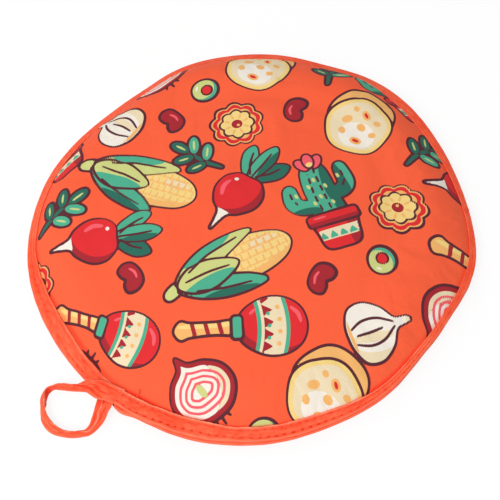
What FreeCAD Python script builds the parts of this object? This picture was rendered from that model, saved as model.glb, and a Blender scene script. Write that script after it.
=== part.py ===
import FreeCAD, Part
import math
import os
import Sketcher

# A round, padded tortilla warmer: two quilted panels bound together round their closed edge with folded
# tape, a mouth whose two lips are bound one by one, and a tape loop to hang it by.
# Frame: origin at the middle of the flat underside, +Z up, the mouth faces -Y. Millimetres and degrees.

doc = FreeCAD.newDocument("tortilla_warmer")

drivingSizes = {
    # whole pouch
    "overallDiameter": 305,
    "overallHeight": 33,
    "restDiameter": 236,  # flat part of the underside
    "crownDrop": 5,  # fall of the gentle arc over the middle of the top
    "shoulderRun": 60,  # level reach of the tighter arc that falls to the binding
    "seamHeight": 6.3,  # middle of the closed edge above the table
    # mouth and its lifting flap
    "mouthAngle": 126,  # share of the rim that opens
    "lipClearance": 0.3,  # between the two bound lips
    "foldClearance": 0.3,  # between the flap and the fixed part at the fold line
    # layers of a panel
    "coverThickness": 0.45,
    "waddingLoft": 4,
    "waddingPressed": 0.6,  # under the binding
    "foilThickness": 0.15,
    "liningThickness": 0.4,
    # binding and its seams
    "tapeThickness": 0.45,
    "bindingWidth": 9,
    "outerRowInset": 2,
    "innerRowInset": 7,
    "threadWidth": 0.5,
    "threadHeight": 0.3,
    "closedRowEndGap": 4.5,  # seam rows stop this far from the fold line
    "mouthRowEndGap": 1.5,
    # thread tacks that lock the two ends of the mouth
    "tackLength": 7,
    "tackWidth": 1.8,
    "tackHeight": 0.4,
    # hanging loop
    "loopFromMouth": 4.5,  # degrees along the rim from the mouth's left end
    "loopTapeWidth": 10,
    "loopRadius": 19,
    "loopReach": 15.5,  # loop centre outside the rim
    "loopOffset": -6.5,  # loop centre along the rim
    "loopSweep": 240,
    "upperLegOffset": -19,
    "lowerLegOffset": 6.5,
    "legLength": 6,
    "legClearance": 0.45,  # rim to the moving part of the loop
    "endDepth": 8,  # how far each end goes into the seam
    "slotClearance": 0.2,
    "loopRowInset": 1.5,
}

sheet = doc.addObject("Spreadsheet::Sheet", "sizes")
for row, (alias, number) in enumerate(drivingSizes.items(), start=1):
    sheet.set(f"A{row}", alias)
    sheet.set(f"B{row}", str(number))
    sheet.setAlias(f"B{row}", alias)
doc.recompute()


class Size:
    """A length or angle: its value now, and the sheet expression that gives it."""

    def __init__(self, value, text):
        self.value = value
        self.text = text

    def __add__(self, other):
        return Size(self.value + other.value, f"({self.text} + {other.text})")

    def __sub__(self, other):
        return Size(self.value - other.value, f"({self.text} - {other.text})")

    def __mul__(self, factor):
        return Size(self.value * factor, f"({self.text} * {factor})")

    def __neg__(self):
        return Size(-self.value, f"(-{self.text})")


def driving(alias):
    return Size(float(sheet.get(alias)), f"sizes.{alias}")


def cosine(angle):
    return Size(math.cos(math.radians(angle.value)), f"cos({angle.text} * 1 deg)")


def times(first, second):
    return Size(first.value * second.value, f"({first.text} * {second.text})")


zero = Size(0.0, "0")
rimRadius = driving("overallDiameter") * 0.5
restRadius = driving("restDiameter") * 0.5
tape = driving("tapeThickness")
cover = driving("coverThickness")
foil = driving("foilThickness")
lining = driving("liningThickness")
pressed = driving("waddingPressed")
loft = driving("waddingLoft")
layerEdge = rimRadius - tape  # the layers end inside the fold of the tape
bindingInner = rimRadius - driving("bindingWidth")
shoulderStart = bindingInner - driving("shoulderRun")
foldDistance = times(rimRadius, cosine(driving("mouthAngle") * 0.5))

# Heights under the binding, from the seam outwards. The two bound lips leave the panels this far apart.
halfGap = tape + driving("lipClearance") * 0.5
seam = driving("seamHeight")
# Each panel is lining, foil, wadding, cover: running sums of thickness, at the edge and in the middle.
edgeSteps = [zero, lining, lining + foil, lining + foil + pressed, lining + foil + pressed + cover]
middleSteps = [zero, cover, cover + loft, cover + loft + foil, cover + loft + foil + lining]
layerNames = ["lining", "foil", "wadding", "cover"]
topEdge = [seam + halfGap + step for step in edgeSteps]
bottomEdge = [seam - halfGap - step for step in edgeSteps]
topMiddle = [driving("overallHeight") - step for step in reversed(middleSteps)]
bottomMiddle = list(reversed(middleSteps))


def newBody(name):
    body = doc.addObject("PartDesign::Body", name)
    body.Label = name
    return body


def newSketch(body, name, role):
    sketch = body.newObject("Sketcher::SketchObject", name)
    plane = next(item for item in body.Origin.OriginFeatures if item.Role == role)
    sketch.AttachmentSupport = [(plane, "")]
    sketch.MapMode = "FlatFace"
    return sketch


def constrain(sketch, name, kind, *where, size):
    """Adds a dimension that the sheet drives."""
    index = sketch.addConstraint(Sketcher.Constraint(kind, *where, size.value))
    sketch.renameConstraint(index, name)
    sketch.setExpression(f"Constraints.{name}", size.text)


def point(x, y):
    return FreeCAD.Vector(x, y, 0)


def addArc(sketch, centre, radius, start, end):
    """An anticlockwise arc. start and end are points on it."""
    angles = [math.atan2(p.y - centre.y, p.x - centre.x) for p in (start, end)]
    circle = Part.Circle(centre, FreeCAD.Vector(0, 0, 1), radius)
    return sketch.addGeometry(Part.ArcOfCircle(circle, *angles), False)


def joinFlange(sketch, name, arc, arcEnd, height):
    """Adds the level stretch under the binding, from the end of an arc to the edge of the layer."""
    flange = sketch.addGeometry(
        Part.LineSegment(point(bindingInner.value, height.value), point(layerEdge.value, height.value)), False
    )
    sketch.addConstraint(Sketcher.Constraint("Horizontal", flange))
    sketch.addConstraint(Sketcher.Constraint("Coincident", arc, arcEnd, flange, 1))
    constrain(sketch, f"{name}FlangeStart", "DistanceX", -1, 1, flange, 1, size=bindingInner)
    constrain(sketch, f"{name}FlangeHeight", "DistanceY", -1, 1, flange, 1, size=height)
    constrain(sketch, f"{name}FlangeEnd", "DistanceX", -1, 1, flange, 2, size=layerEdge)
    return flange


def addDome(sketch, name, middle, edge):
    """Crown arc, tangent shoulder arc and flange. Returns its ends on the axis and at the edge."""
    top = point(0, middle.value)
    drop = driving("crownDrop")
    meet = point(shoulderStart.value, (middle - drop).value)
    corner = point(bindingInner.value, edge.value)
    crownRadius = (meet.x**2 + drop.value**2) / (2 * drop.value)
    crownCentre = top - point(0, crownRadius)
    inward = (crownCentre - meet).normalize()
    fall = corner - meet
    shoulderRadius = fall.dot(fall) / (2 * inward.dot(fall))
    crown = addArc(sketch, crownCentre, crownRadius, meet, top)
    shoulder = addArc(sketch, meet + inward * shoulderRadius, shoulderRadius, corner, meet)
    sketch.addConstraint(Sketcher.Constraint("PointOnObject", crown, 3, -2))
    sketch.addConstraint(Sketcher.Constraint("PointOnObject", crown, 2, -2))
    sketch.addConstraint(Sketcher.Constraint("Tangent", crown, 1, shoulder, 2))
    constrain(sketch, f"{name}Middle", "DistanceY", -1, 1, crown, 2, size=middle)
    constrain(sketch, f"{name}MeetHeight", "DistanceY", -1, 1, crown, 1, size=middle - drop)
    constrain(sketch, f"{name}Meet", "DistanceX", -1, 1, crown, 1, size=shoulderStart)
    flange = joinFlange(sketch, name, shoulder, 1, edge)
    return (crown, 2), (flange, 2)


def addDish(sketch, name, middle, edge):
    """Flat floor, an arc that turns up from it, and flange. Returns its ends on the axis and at the edge."""
    run = bindingInner.value - restRadius.value
    rise = edge.value - middle.value
    radius = (run**2 + rise**2) / (2 * rise)
    foot = point(restRadius.value, middle.value)
    floor = sketch.addGeometry(Part.LineSegment(point(0, middle.value), foot), False)
    centre = foot + point(0, radius)
    turn = addArc(sketch, centre, radius, foot, point(bindingInner.value, edge.value))
    sketch.addConstraint(Sketcher.Constraint("Horizontal", floor))
    sketch.addConstraint(Sketcher.Constraint("PointOnObject", floor, 1, -2))
    sketch.addConstraint(Sketcher.Constraint("Tangent", floor, 2, turn, 1))
    if middle.text == zero.text:
        sketch.addConstraint(Sketcher.Constraint("PointOnObject", floor, 1, -1))
    else:
        constrain(sketch, f"{name}Middle", "DistanceY", -1, 1, floor, 1, size=middle)
    constrain(sketch, f"{name}Rest", "DistanceX", -1, 1, floor, 2, size=restRadius)
    flange = joinFlange(sketch, name, turn, 2, edge)
    return (floor, 1), (flange, 2)


def closeProfile(sketch, lower, upper):
    """Joins two curves on the axis and at the edge."""
    for first, second in zip(lower, upper):
        ends = [sketch.getPoint(*first), sketch.getPoint(*second)]
        side = sketch.addGeometry(Part.LineSegment(*ends), False)
        sketch.addConstraint(Sketcher.Constraint("Coincident", first[0], first[1], side, 1))
        sketch.addConstraint(Sketcher.Constraint("Coincident", second[0], second[1], side, 2))


def addOutline(sketch, name, corners):
    """A closed outline of level and upright lines. corners are pairs of sizes, in order."""
    count = len(corners)
    lines = []
    for (x, y), (nextX, nextY) in zip(corners, corners[1:] + corners[:1]):
        ends = [point(x.value, y.value), point(nextX.value, nextY.value)]
        lines.append(sketch.addGeometry(Part.LineSegment(*ends), False))
    for number, line in enumerate(lines):
        nextLine = lines[(number + 1) % count]
        sketch.addConstraint(Sketcher.Constraint("Coincident", line, 2, nextLine, 1))
        (x, y), (nextX, nextY) = corners[number], corners[(number + 1) % count]
        level = y.text == nextY.text
        sketch.addConstraint(Sketcher.Constraint("Horizontal" if level else "Vertical", line))
    # Every second corner fixes both of the lines that meet there.
    for number in range(0, count, 2):
        x, y = corners[number]
        for kind, size in (("DistanceX", x), ("DistanceY", y)):
            if size.text == zero.text:
                axis = -2 if kind == "DistanceX" else -1
                sketch.addConstraint(Sketcher.Constraint("PointOnObject", lines[number], 1, axis))
            else:
                constrain(sketch, f"{name}{kind}{number}", kind, -1, 1, lines[number], 1, size=size)


def revolve(body, sketch):
    turned = body.newObject("PartDesign::Revolution", f"{body.Name}_turn")
    turned.Profile = sketch
    turned.ReferenceAxis = (sketch, ["V_Axis"])
    turned.Angle = 360
    sketch.Visibility = False
    doc.recompute()
    return turned


def keepSide(body, side, clearance):
    """Cuts a ring or panel along the fold line. side is "back" for the fixed part and "front" for the flap."""
    before = body.Shape.Volume
    beyond = rimRadius * 1.2
    if side == "back":
        near, far = -(foldDistance - clearance), -beyond
    else:
        near, far = -(foldDistance + clearance), beyond
    sketch = newSketch(body, f"{body.Name}_fold_line", "XY_Plane")
    addOutline(sketch, "fold", [(-beyond, near), (beyond, near), (beyond, far), (-beyond, far)])
    cut = body.newObject("PartDesign::Pocket", f"{body.Name}_fold_cut")
    cut.Profile = sketch
    cut.Type = "ThroughAll"
    cut.Reversed = True
    sketch.Visibility = False
    doc.recompute()
    if not 0 < body.Shape.Volume < before:
        raise ValueError(f"the fold line cuts nothing from {body.Name}")


foldHalf = driving("foldClearance") * 0.5


def makePanelLayer(name, addCurve, lower, upper, side=None):
    """One layer of a panel between two curves, each given by its heights in the middle and at the edge."""
    body = newBody(name)
    sketch = newSketch(body, f"{name}_profile", "XZ_Plane")
    closeProfile(sketch, addCurve(sketch, "lower", *lower), addCurve(sketch, "upper", *upper))
    revolve(body, sketch)
    if side:
        keepSide(body, side, foldHalf)


def makeRing(name, outlines, side=None, clearance=zero):
    """A ring turned from one or more outlines, then cut at the fold line."""
    body = newBody(name)
    body.AllowCompound = True
    sketch = newSketch(body, f"{name}_profile", "XZ_Plane")
    for number, corners in enumerate(outlines):
        addOutline(sketch, f"outline{number}", corners)
    revolve(body, sketch)
    if side:
        keepSide(body, side, clearance)
    return body


def foldedTape(bottomLayer, topLayer):
    """Section of tape folded over an edge whose layers lie between two heights: an eight-cornered C."""
    low, high = bottomLayer - tape, topLayer + tape
    return [
        (bindingInner, low),
        (rimRadius, low),
        (rimRadius, high),
        (bindingInner, high),
        (bindingInner, topLayer),
        (layerEdge, topLayer),
        (layerEdge, bottomLayer),
        (bindingInner, bottomLayer),
    ]


def threadSection(inset, low, high):
    """Section of a seam row's thread, between two heights."""
    middle = rimRadius - inset
    half = driving("threadWidth") * 0.5
    return [(middle - half, low), (middle + half, low), (middle + half, high), (middle - half, high)]


# Panels
for number, layer in enumerate(layerNames):
    topLower = (topMiddle[number], topEdge[number])
    topUpper = (topMiddle[number + 1], topEdge[number + 1])
    makePanelLayer(f"top_{layer}_back", addDome, topLower, topUpper, "back")
    makePanelLayer(f"top_{layer}_flap", addDome, topLower, topUpper, "front")
    bottomLower = (bottomMiddle[number + 1], bottomEdge[number + 1])
    bottomUpper = (bottomMiddle[number], bottomEdge[number])
    makePanelLayer(f"bottom_{layer}", addDish, bottomLower, bottomUpper)

# Bindings: one round the closed edge, and one on each lip of the mouth
closedEdge = makeRing("closed_edge_binding", [foldedTape(bottomEdge[-1], topEdge[-1])], "back")
makeRing("mouth_binding_top", [foldedTape(topEdge[0], topEdge[-1])], "front", foldHalf)
makeRing("mouth_binding_bottom", [foldedTape(bottomEdge[-1], bottomEdge[0])], "front")

# Seam rows, two on each binding. The lips nearly touch, so theirs show on the outer faces alone.
thread = driving("threadHeight")
tapeTop = topEdge[-1] + tape
tapeUnder = bottomEdge[-1] - tape
for rowName in ("outer", "inner"):
    inset = driving(f"{rowName}RowInset")
    needle = threadSection(inset, tapeTop, tapeTop + thread)
    bobbin = threadSection(inset, tapeUnder - thread, tapeUnder)
    makeRing(f"closed_edge_{rowName}_seam", [bobbin, needle], "back", driving("closedRowEndGap"))
    makeRing(f"mouth_top_{rowName}_seam", [needle], "front", driving("mouthRowEndGap"))
    makeRing(f"mouth_bottom_{rowName}_seam", [bobbin], "front", driving("mouthRowEndGap"))


def rectangle(middleX, middleY, sizeX, sizeY):
    left, right = middleX - sizeX * 0.5, middleX + sizeX * 0.5
    front, back = middleY - sizeY * 0.5, middleY + sizeY * 0.5
    return [(left, front), (right, front), (right, back), (left, back)]


def liftedSketch(body, name, corners, height, turn=zero):
    """An outline drawn level, lifted to a height and turned about Z."""
    sketch = newSketch(body, name, "XY_Plane")
    addOutline(sketch, "outline", corners)
    turned = FreeCAD.Rotation(FreeCAD.Vector(0, 0, 1), turn.value)
    sketch.AttachmentOffset = FreeCAD.Placement(FreeCAD.Vector(0, 0, height.value), turned)
    sketch.setExpression("AttachmentOffset.Base.z", height.text)
    if turn.value:
        sketch.setExpression("AttachmentOffset.Rotation.Angle", f"{turn.text} * 1 deg")
    sketch.Visibility = False
    return sketch


def addPad(body, name, corners, height, thickness, turn=zero):
    pad = body.newObject("PartDesign::Pad", f"{name}_pad")
    pad.Profile = liftedSketch(body, name, corners, height, turn)
    pad.setExpression("Length", thickness.text)
    doc.recompute()


# Thread tacks that lock the two ends of the mouth, a bar on each face of the closed edge
tackRadius = rimRadius - driving("bindingWidth") * 0.5
tackBack = -times(tackRadius, cosine(driving("mouthAngle") * 0.5))
tackAside = times(tackRadius, cosine(Size(90.0, "90") - driving("mouthAngle") * 0.5))
for sideName, tackX in (("left", -tackAside), ("right", tackAside)):
    body = newBody(f"{sideName}_mouth_tack")
    body.AllowCompound = True
    corners = rectangle(tackX, tackBack, driving("tackLength"), driving("tackWidth"))
    addPad(body, f"{sideName}_upper_bar", corners, tapeTop, driving("tackHeight"))
    addPad(body, f"{sideName}_lower_bar", corners, tapeUnder - driving("tackHeight"), driving("tackHeight"))

# Hanging loop: binding tape folded to two plies. In its own directions, X points out from the rim at
# loopAngle and Y runs along the rim. Its ends lie on the bottom lining, inside the closed edge.
loopAngle = Size(-90.0, "-90") - driving("mouthAngle") * 0.5 - driving("loopFromMouth")
loopPly = tape * 2
loopWidth = driving("loopTapeWidth")
endHeight = bottomEdge[0]
for endName in ("upper", "lower"):
    offset = driving(f"{endName}LegOffset")
    depth = driving("endDepth")
    body = newBody(f"loop_{endName}_end")
    corners = rectangle(rimRadius - depth * 0.5, offset, depth, loopWidth)
    addPad(body, f"{endName}_end", corners, endHeight, loopPly, loopAngle)
    slotCorners = rectangle(rimRadius, offset, depth, loopWidth + driving("slotClearance") * 2)
    slot = closedEdge.newObject("PartDesign::Pocket", f"{endName}_end_slot")
    slot.Profile = liftedSketch(closedEdge, f"{endName}_slot", slotCorners, endHeight, loopAngle)
    slot.Reversed = True
    slot.setExpression("Length", (halfGap * 2).text)
    before = closedEdge.Shape.Volume
    doc.recompute()
    if not closedEdge.Shape.Volume < before:
        raise ValueError(f"the {endName} loop end has no way out of the binding")


def place(item, x=zero, y=zero, z=zero, turn=zero):
    turned = FreeCAD.Rotation(FreeCAD.Vector(0, 0, 1), turn.value)
    item.Placement = FreeCAD.Placement(FreeCAD.Vector(x.value, y.value, z.value), turned)
    for axis, size in (("x", x), ("y", y), ("z", z)):
        if size.text != zero.text:
            item.setExpression(f"Placement.Base.{axis}", size.text)
    if turn.text != zero.text:
        item.setExpression("Placement.Rotation.Angle", f"{turn.text} * 1 deg")


loopMiddle = rimRadius + driving("loopReach")
loopOffset = driving("loopOffset")
loopStart = Size(360.0, "360") - driving("loopSweep") * 0.5


def openBand(name, inner, outer, low, height):
    """An upright band round the loop's middle, open towards the rim."""
    solids = []
    for part, radius, sweep in (("outer", outer, driving("loopSweep")), ("inner", inner, Size(360.0, "360"))):
        cylinder = doc.addObject("Part::Cylinder", f"{name}_{part}")
        cylinder.setExpression("Radius", radius.text)
        cylinder.setExpression("Height", height.text)
        cylinder.setExpression("Angle", f"{sweep.text} * 1 deg")
        place(cylinder, loopMiddle, loopOffset, low, loopStart)
        solids.append(cylinder)
    band = doc.addObject("Part::Cut", name)
    band.Base, band.Tool = solids
    return band


bandRadius = driving("loopRadius")
bandOuter = bandRadius + tape
loopPieces = [openBand("loop_bend", bandRadius - tape, bandOuter, zero, loopWidth)]
for endName in ("upper", "lower"):
    leg = doc.addObject("Part::Box", f"{endName}_leg")
    leg.setExpression("Length", driving("legLength").text)
    leg.setExpression("Width", loopWidth.text)
    leg.setExpression("Height", loopPly.text)
    legSide = driving(f"{endName}LegOffset") - loopWidth * 0.5
    place(leg, rimRadius + driving("legClearance"), legSide, endHeight)
    loopPieces.append(leg)
hangingLoop = doc.addObject("Part::MultiFuse", "hanging_loop")
hangingLoop.Shapes = loopPieces
place(hangingLoop, turn=loopAngle)

# The row of stitches that closes the fold of the loop's tape, near its upper edge
edgeRowLow = loopWidth - driving("loopRowInset")
loopSeam = openBand("loop_edge_seam", bandOuter, bandOuter + thread, edgeRowLow, driving("threadWidth"))
place(loopSeam, turn=loopAngle)
doc.recompute()

subParts = [item for item in doc.Objects if item.TypeId == "PartDesign::Body"] + [hangingLoop, loopSeam]
for item in doc.Objects:
    if "Invalid" in item.State or "Error" in item.State:
        raise ValueError(f"{item.Name} did not build: {item.State}")
for item in subParts:
    if item.Shape.isNull() or not item.Shape.isValid() or item.Shape.Volume <= 0:
        raise ValueError(f"{item.Label} has no sound shape")

os.makedirs("parts", exist_ok=True)
for item in subParts:
    item.Shape.exportStep(f"parts/{item.Label}.step")
    bounds = item.Shape.optimalBoundingBox(False)
    spans = [f"{low:.2f}..{high:.2f}" for low, high in
             ((bounds.XMin, bounds.XMax), (bounds.YMin, bounds.YMax), (bounds.ZMin, bounds.ZMax))]
    print(f"{item.Label:26s} solids {len(item.Shape.Solids)} volume {item.Shape.Volume:10.1f}  {'  '.join(spans)}")
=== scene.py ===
import math

import bpy
import numpy as np
from mathutils import Matrix, Vector


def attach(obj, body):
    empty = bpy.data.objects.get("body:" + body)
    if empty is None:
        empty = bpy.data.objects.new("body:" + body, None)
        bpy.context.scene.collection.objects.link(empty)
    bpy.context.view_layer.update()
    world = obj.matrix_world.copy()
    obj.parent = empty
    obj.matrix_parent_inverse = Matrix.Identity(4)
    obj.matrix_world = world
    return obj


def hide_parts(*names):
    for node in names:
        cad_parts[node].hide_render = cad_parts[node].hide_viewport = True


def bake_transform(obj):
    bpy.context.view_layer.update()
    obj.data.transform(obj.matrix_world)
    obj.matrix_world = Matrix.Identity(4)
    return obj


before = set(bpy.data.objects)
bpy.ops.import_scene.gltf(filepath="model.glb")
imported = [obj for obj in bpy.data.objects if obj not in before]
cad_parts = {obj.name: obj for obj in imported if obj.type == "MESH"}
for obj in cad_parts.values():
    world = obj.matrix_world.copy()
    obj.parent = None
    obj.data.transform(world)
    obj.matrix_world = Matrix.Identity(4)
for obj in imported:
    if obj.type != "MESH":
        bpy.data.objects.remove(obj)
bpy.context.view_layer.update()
scene = bpy.context.scene
mm = 0.001

# The pouch's sizes in millimetres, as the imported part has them. The mouth faces -Y.
pouch = {
    "rim": 152.5,
    "bindingInner": 143.5,
    "innerRow": 145.6,
    "outerRow": 149.6,
    "layerEdge": 150.6,
    "easeFrom": 96.0,  # inside this radius the tape's width moves nothing
    "tiltFull": 140.0,  # and from here the rim tilts in full
    "riseFrom": 122.0,  # between these two the rim's waves set in
    "riseFull": 150.0,
    "grooveShare": 0.27,  # how far the inner row may lie from the tape's edge, of its width
    "pushedIn": 1.5,  # how far the tape can be pushed in before the panels' edge goes with it
    "shoulder": 83.5,
    "crownDrop": 5.0,
    "rest": 118.0,
    "seam": 6.3,
    "seamHalf": 0.6,
    "mouthHalf": 63.0,
    "foldY": -69.23,
    "foldZ": 29.7,
    "bendRun": 66.0,  # how far in front of the fold line the flap is still bending
}
# Heights in the middle and at the edge of each face of the layers, from the lining's face outwards.
topFaces = {
    "lining": (28.0, 6.9), "foil": (28.4, 7.3), "wadding": (28.55, 7.45), "cover": (32.55, 8.05),
    "outside": (33.0, 8.5),
}
bottomFaces = {
    "lining": (5.0, 5.7), "foil": (4.6, 5.3), "wadding": (4.45, 5.15), "cover": (0.45, 4.55),
    "outside": (0.0, 4.1),
}


def bell(value, centre, half):
    # One at the centre, and 1/e at half on either side.
    return np.exp(-(((value - centre) / half) ** 2))


def smoothStep(value, start, end):
    # Zero before start, one after end, and t*t*(3 - 2t) between them.
    t = np.clip((value - start) / (end - start), 0.0, 1.0)
    return t * t * (3.0 - 2.0 * t)


def domeHeight(radius, faces):
    # An arc falls by crownDrop from the middle to the shoulder, a second arc tangent to it falls to the
    # binding, and from there it is level.
    middle, edge = faces
    drop, meet = pouch["crownDrop"], pouch["shoulder"]
    crown = (meet**2 + drop**2) / (2 * drop)
    inwardX, inwardZ = -meet / crown, -(crown - drop) / crown
    fallX, fallZ = pouch["bindingInner"] - meet, edge - (middle - drop)
    arc = (fallX**2 + fallZ**2) / (2 * (inwardX * fallX + inwardZ * fallZ))
    centreX, centreZ = meet + inwardX * arc, middle - drop + inwardZ * arc
    inner = middle - crown + np.sqrt(np.maximum(crown**2 - radius**2, 0))
    outer = centreZ + np.sqrt(np.maximum(arc**2 - (radius - centreX) ** 2, 0))
    return np.where(radius < meet, inner, np.where(radius < pouch["bindingInner"], outer, edge))


def dishHeight(radius, faces):
    # Flat to the rest radius, then one arc that turns up to the binding, and from there it is level.
    middle, edge = faces
    run, rise = pouch["bindingInner"] - pouch["rest"], edge - middle
    arc = (run**2 + rise**2) / (2 * rise)
    beyond = np.clip(radius - pouch["rest"], 0, run)
    return middle + arc - np.sqrt(arc**2 - beyond**2)


# The outline is a little out of round: cycles per turn, millimetres, phase in degrees.
outline = [
    (1, 0.39, -33), (2, 0.81, 61), (3, 0.92, 102), (4, 1.85, -126), (5, 0.56, 63), (6, 1.2, 102),
    (7, 0.92, 113), (9, 0.32, -6),
]
rimRise = [(2, 0.30, 40), (3, 0.35, 160), (5, 0.30, 20), (8, 0.15, 75)]  # how far the rim lifts and dips


def polar(radius, azimuth, z):
    return np.stack([radius * np.cos(azimuth), radius * np.sin(azimuth), z], axis=-1)


def wave(azimuth, terms):
    # The sum of amplitude * cos(cycles * azimuth - phase).
    return sum(size * np.cos(cycles * azimuth - math.radians(phase)) for cycles, size, phase in terms)


# How the hand-sewn rim changes along its way: azimuth in degrees and millimetres.
tapeWidth = [
    (-175, 12.0), (-165, 10.9), (-155, 9.8), (-147, 11.0), (-130, 11.1), (-121, 9.0), (-108, 8.7),
    (-99, 7.7), (-92, 6.3), (-78, 4.9), (-68, 4.6), (-50, 4.0), (-40, 3.9), (-30, 4.4), (-19, 5.2),
    (-3, 7.4), (14, 8.0), (26, 6.0), (42, 7.0), (58, 8.0), (70, 7.4), (86, 7.4), (100, 7.6), (122, 7.4),
    (145, 6.4), (155, 6.5), (163, 8.3), (169, 10.1), (178, 11.7),
]
# Outer row to rim.
rowInset = [
    (-170, 3.1), (-161, 1.9), (-148, 1.9), (-142, 2.6), (-132, 3.5), (-124, 2.9), (-114, 1.7), (-98, 1.7),
    (-70, 1.5), (60, 1.9), (152, 2.4), (164, 4.2), (174, 6.0), (-177, 5.3),
]
# Rise per millimetre inwards.
rimTilt = [
    (-140, 0.0), (-90, 0.0), (-55, 0.2), (-20, 0.32), (30, 0.42), (90, 0.5), (135, 0.42), (170, 0.25),
    (-160, 0.08),
]
# 1 where the inner fold stands up as a bead.
rolled = [
    (-170, 0.5), (-157, 0.3), (-149, 1.0), (-90, 1.0), (-76, 0.7), (-66, 0.3), (-20, 0.12), (90, 0.05),
    (150, 0.15), (176, 0.45),
]
# The crests and hollows of the rim: how far it stands out.
rimPush = [
    (-170, 1.6), (-161, 1.6), (-154, 0.9), (-148, 1.0), (-141, 0.4), (-131, 0.4), (-123, -0.1),
    (-112, -0.2), (-100, -1.1), (-81, 1.1), (-70, 0.3), (-64, 0.7), (-58, 0.4), (-44, 1.8), (-30, 0.0),
    (-11, 0.8), (8, -1.3), (20, -0.9), (38, -3.0), (50, -1.7), (68, -3.6), (85, -1.8), (92, -2.2),
    (106, -0.7), (121, -0.1), (131, 0.5), (146, 0.1), (160, 0.5),
]


def around(azimuth, table):
    # A value that changes round the rim. Between the azimuths of the table, in degrees, it eases over as
    # t*t*(3 - 2t).
    ordered = sorted(table)
    turns = np.array([ordered[-1][0] - 360, *[turn for turn, _ in ordered], ordered[0][0] + 360])
    values = np.array([ordered[-1][1], *[value for _, value in ordered], ordered[0][1]])
    degrees = (np.degrees(azimuth) + 180) % 360 - 180
    place = np.interp(degrees, turns, np.arange(len(turns)))
    first = np.minimum(place.astype(int), len(turns) - 2)
    part = smoothStep(place - first, 0, 1)
    return values[first] * (1 - part) + values[first + 1] * part


def fitTape(radius, azimuth):
    # Moves the tape's inner edge, its two rows and the cloth beside it to where they are at this azimuth.
    # Radii between them keep their share of each gap.
    wide, inset = around(azimuth, tapeWidth), around(azimuth, rowInset)
    rim, edge = pouch["rim"], pouch["bindingInner"]
    inner = rim - wide
    groove = inner + np.minimum(pouch["innerRow"] - edge, pouch["grooveShare"] * wide)
    moved = radius + (inner - edge) * smoothStep(radius, pouch["easeFrom"], edge)
    beyond = inner + np.maximum(radius - rim, 0)
    gaps = [
        (edge, pouch["innerRow"], groove - inner),
        (pouch["innerRow"], pouch["outerRow"], rim - inset - groove),
    ]
    for start, end, gap in [*gaps, (pouch["outerRow"], rim, inset)]:
        beyond = beyond + np.clip((radius - start) / (end - start), 0, 1) * gap
    return np.where(radius < edge, moved, beyond)


def tapePush(azimuth):
    # How far the tape stands out from the panels' edge, which it can't pass.
    return np.maximum(around(azimuth, rimPush), -pouch["pushedIn"])


def panelPush(azimuth):
    # What is left of the rim's way in, which the panels share.
    return np.minimum(around(azimuth, rimPush) + pouch["pushedIn"], 0)


def settle(points):
    # Moves points in millimetres with the slack cloth: outwards by the outline's wave, which fades to
    # nothing in the middle, and up by the rim's waves and tilt.
    x, y, z = points[..., 0], points[..., 1], points[..., 2]
    radius = np.hypot(x, y)
    azimuth = np.arctan2(y, x)
    moved = wave(azimuth, outline) + panelPush(azimuth)
    out = fitTape(radius, azimuth) + moved * np.minimum(radius / pouch["rim"], 1.0) ** 2
    lift = wave(azimuth, rimRise) * smoothStep(radius, pouch["riseFrom"], pouch["riseFull"])
    upper = smoothStep(z, pouch["seam"] - pouch["seamHalf"], pouch["seam"] + pouch["seamHalf"])
    tilt = upper * around(azimuth, rimTilt) * np.maximum(pouch["rim"] - radius, 0)
    lift = lift + tilt * smoothStep(radius, pouch["easeFrom"], pouch["tiltFull"])
    return polar(out, azimuth, z + lift)


def ripple(seed, azimuth, shortest, longest, size, count=48):
    # Seeded noise round the rim: a sum of count cosines of whole cycles, whose lengths at the rim lie
    # between shortest and longest.
    draw = np.random.default_rng(seed)
    turn = 2 * math.pi * pouch["rim"]
    cycles = draw.integers(int(turn / longest), int(turn / shortest) + 1, count)
    phase = draw.uniform(0, 2 * math.pi, count)
    return size * math.sqrt(2 / count) * np.cos(np.multiply.outer(azimuth, cycles) + phase).sum(-1)


def undulate(seed, x, y, shortest, longest, size, count=26):
    # Seeded noise on the plane: a sum of count plane waves of random direction.
    draw = np.random.default_rng(seed)
    pitch = 2 * math.pi / draw.uniform(shortest, longest, count)
    way = draw.uniform(0, 2 * math.pi, count)
    phase = draw.uniform(0, 2 * math.pi, count)
    along = np.multiply.outer(x, pitch * np.cos(way)) + np.multiply.outer(y, pitch * np.sin(way))
    return size * math.sqrt(2 / count) * np.cos(along + phase).sum(-1)


# ---- meshes ----
def newPiece(name, points, faces, smooth=True):
    # points are in millimetres. faces is a list of arrays, each of three or four columns.
    mesh = bpy.data.meshes.new(name)
    mesh.vertices.add(len(points))
    mesh.vertices.foreach_set("co", (points * mm).astype(np.float32).ravel())
    counts = np.concatenate([np.full(len(f), f.shape[1]) for f in faces])
    corners = np.concatenate([f.ravel() for f in faces])
    mesh.loops.add(len(corners))
    mesh.loops.foreach_set("vertex_index", corners.astype(np.int32))
    mesh.polygons.add(len(counts))
    mesh.polygons.foreach_set("loop_start", np.concatenate([[0], np.cumsum(counts)[:-1]]).astype(np.int32))
    mesh.polygons.foreach_set("use_smooth", np.full(len(counts), smooth))
    mesh.update(calc_edges=True)
    mesh.validate()
    piece = bpy.data.objects.new(name, mesh)
    scene.collection.objects.link(piece)
    return piece


def addField(piece, name, values, rest=0.0):
    # One value for each of the first points, and rest for those after them.
    every = np.full(len(piece.data.vertices), rest, np.float32)
    every[: len(values)] = values
    field = piece.data.attributes.new(name, "FLOAT", "POINT")
    field.data.foreach_set("value", every)


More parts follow.
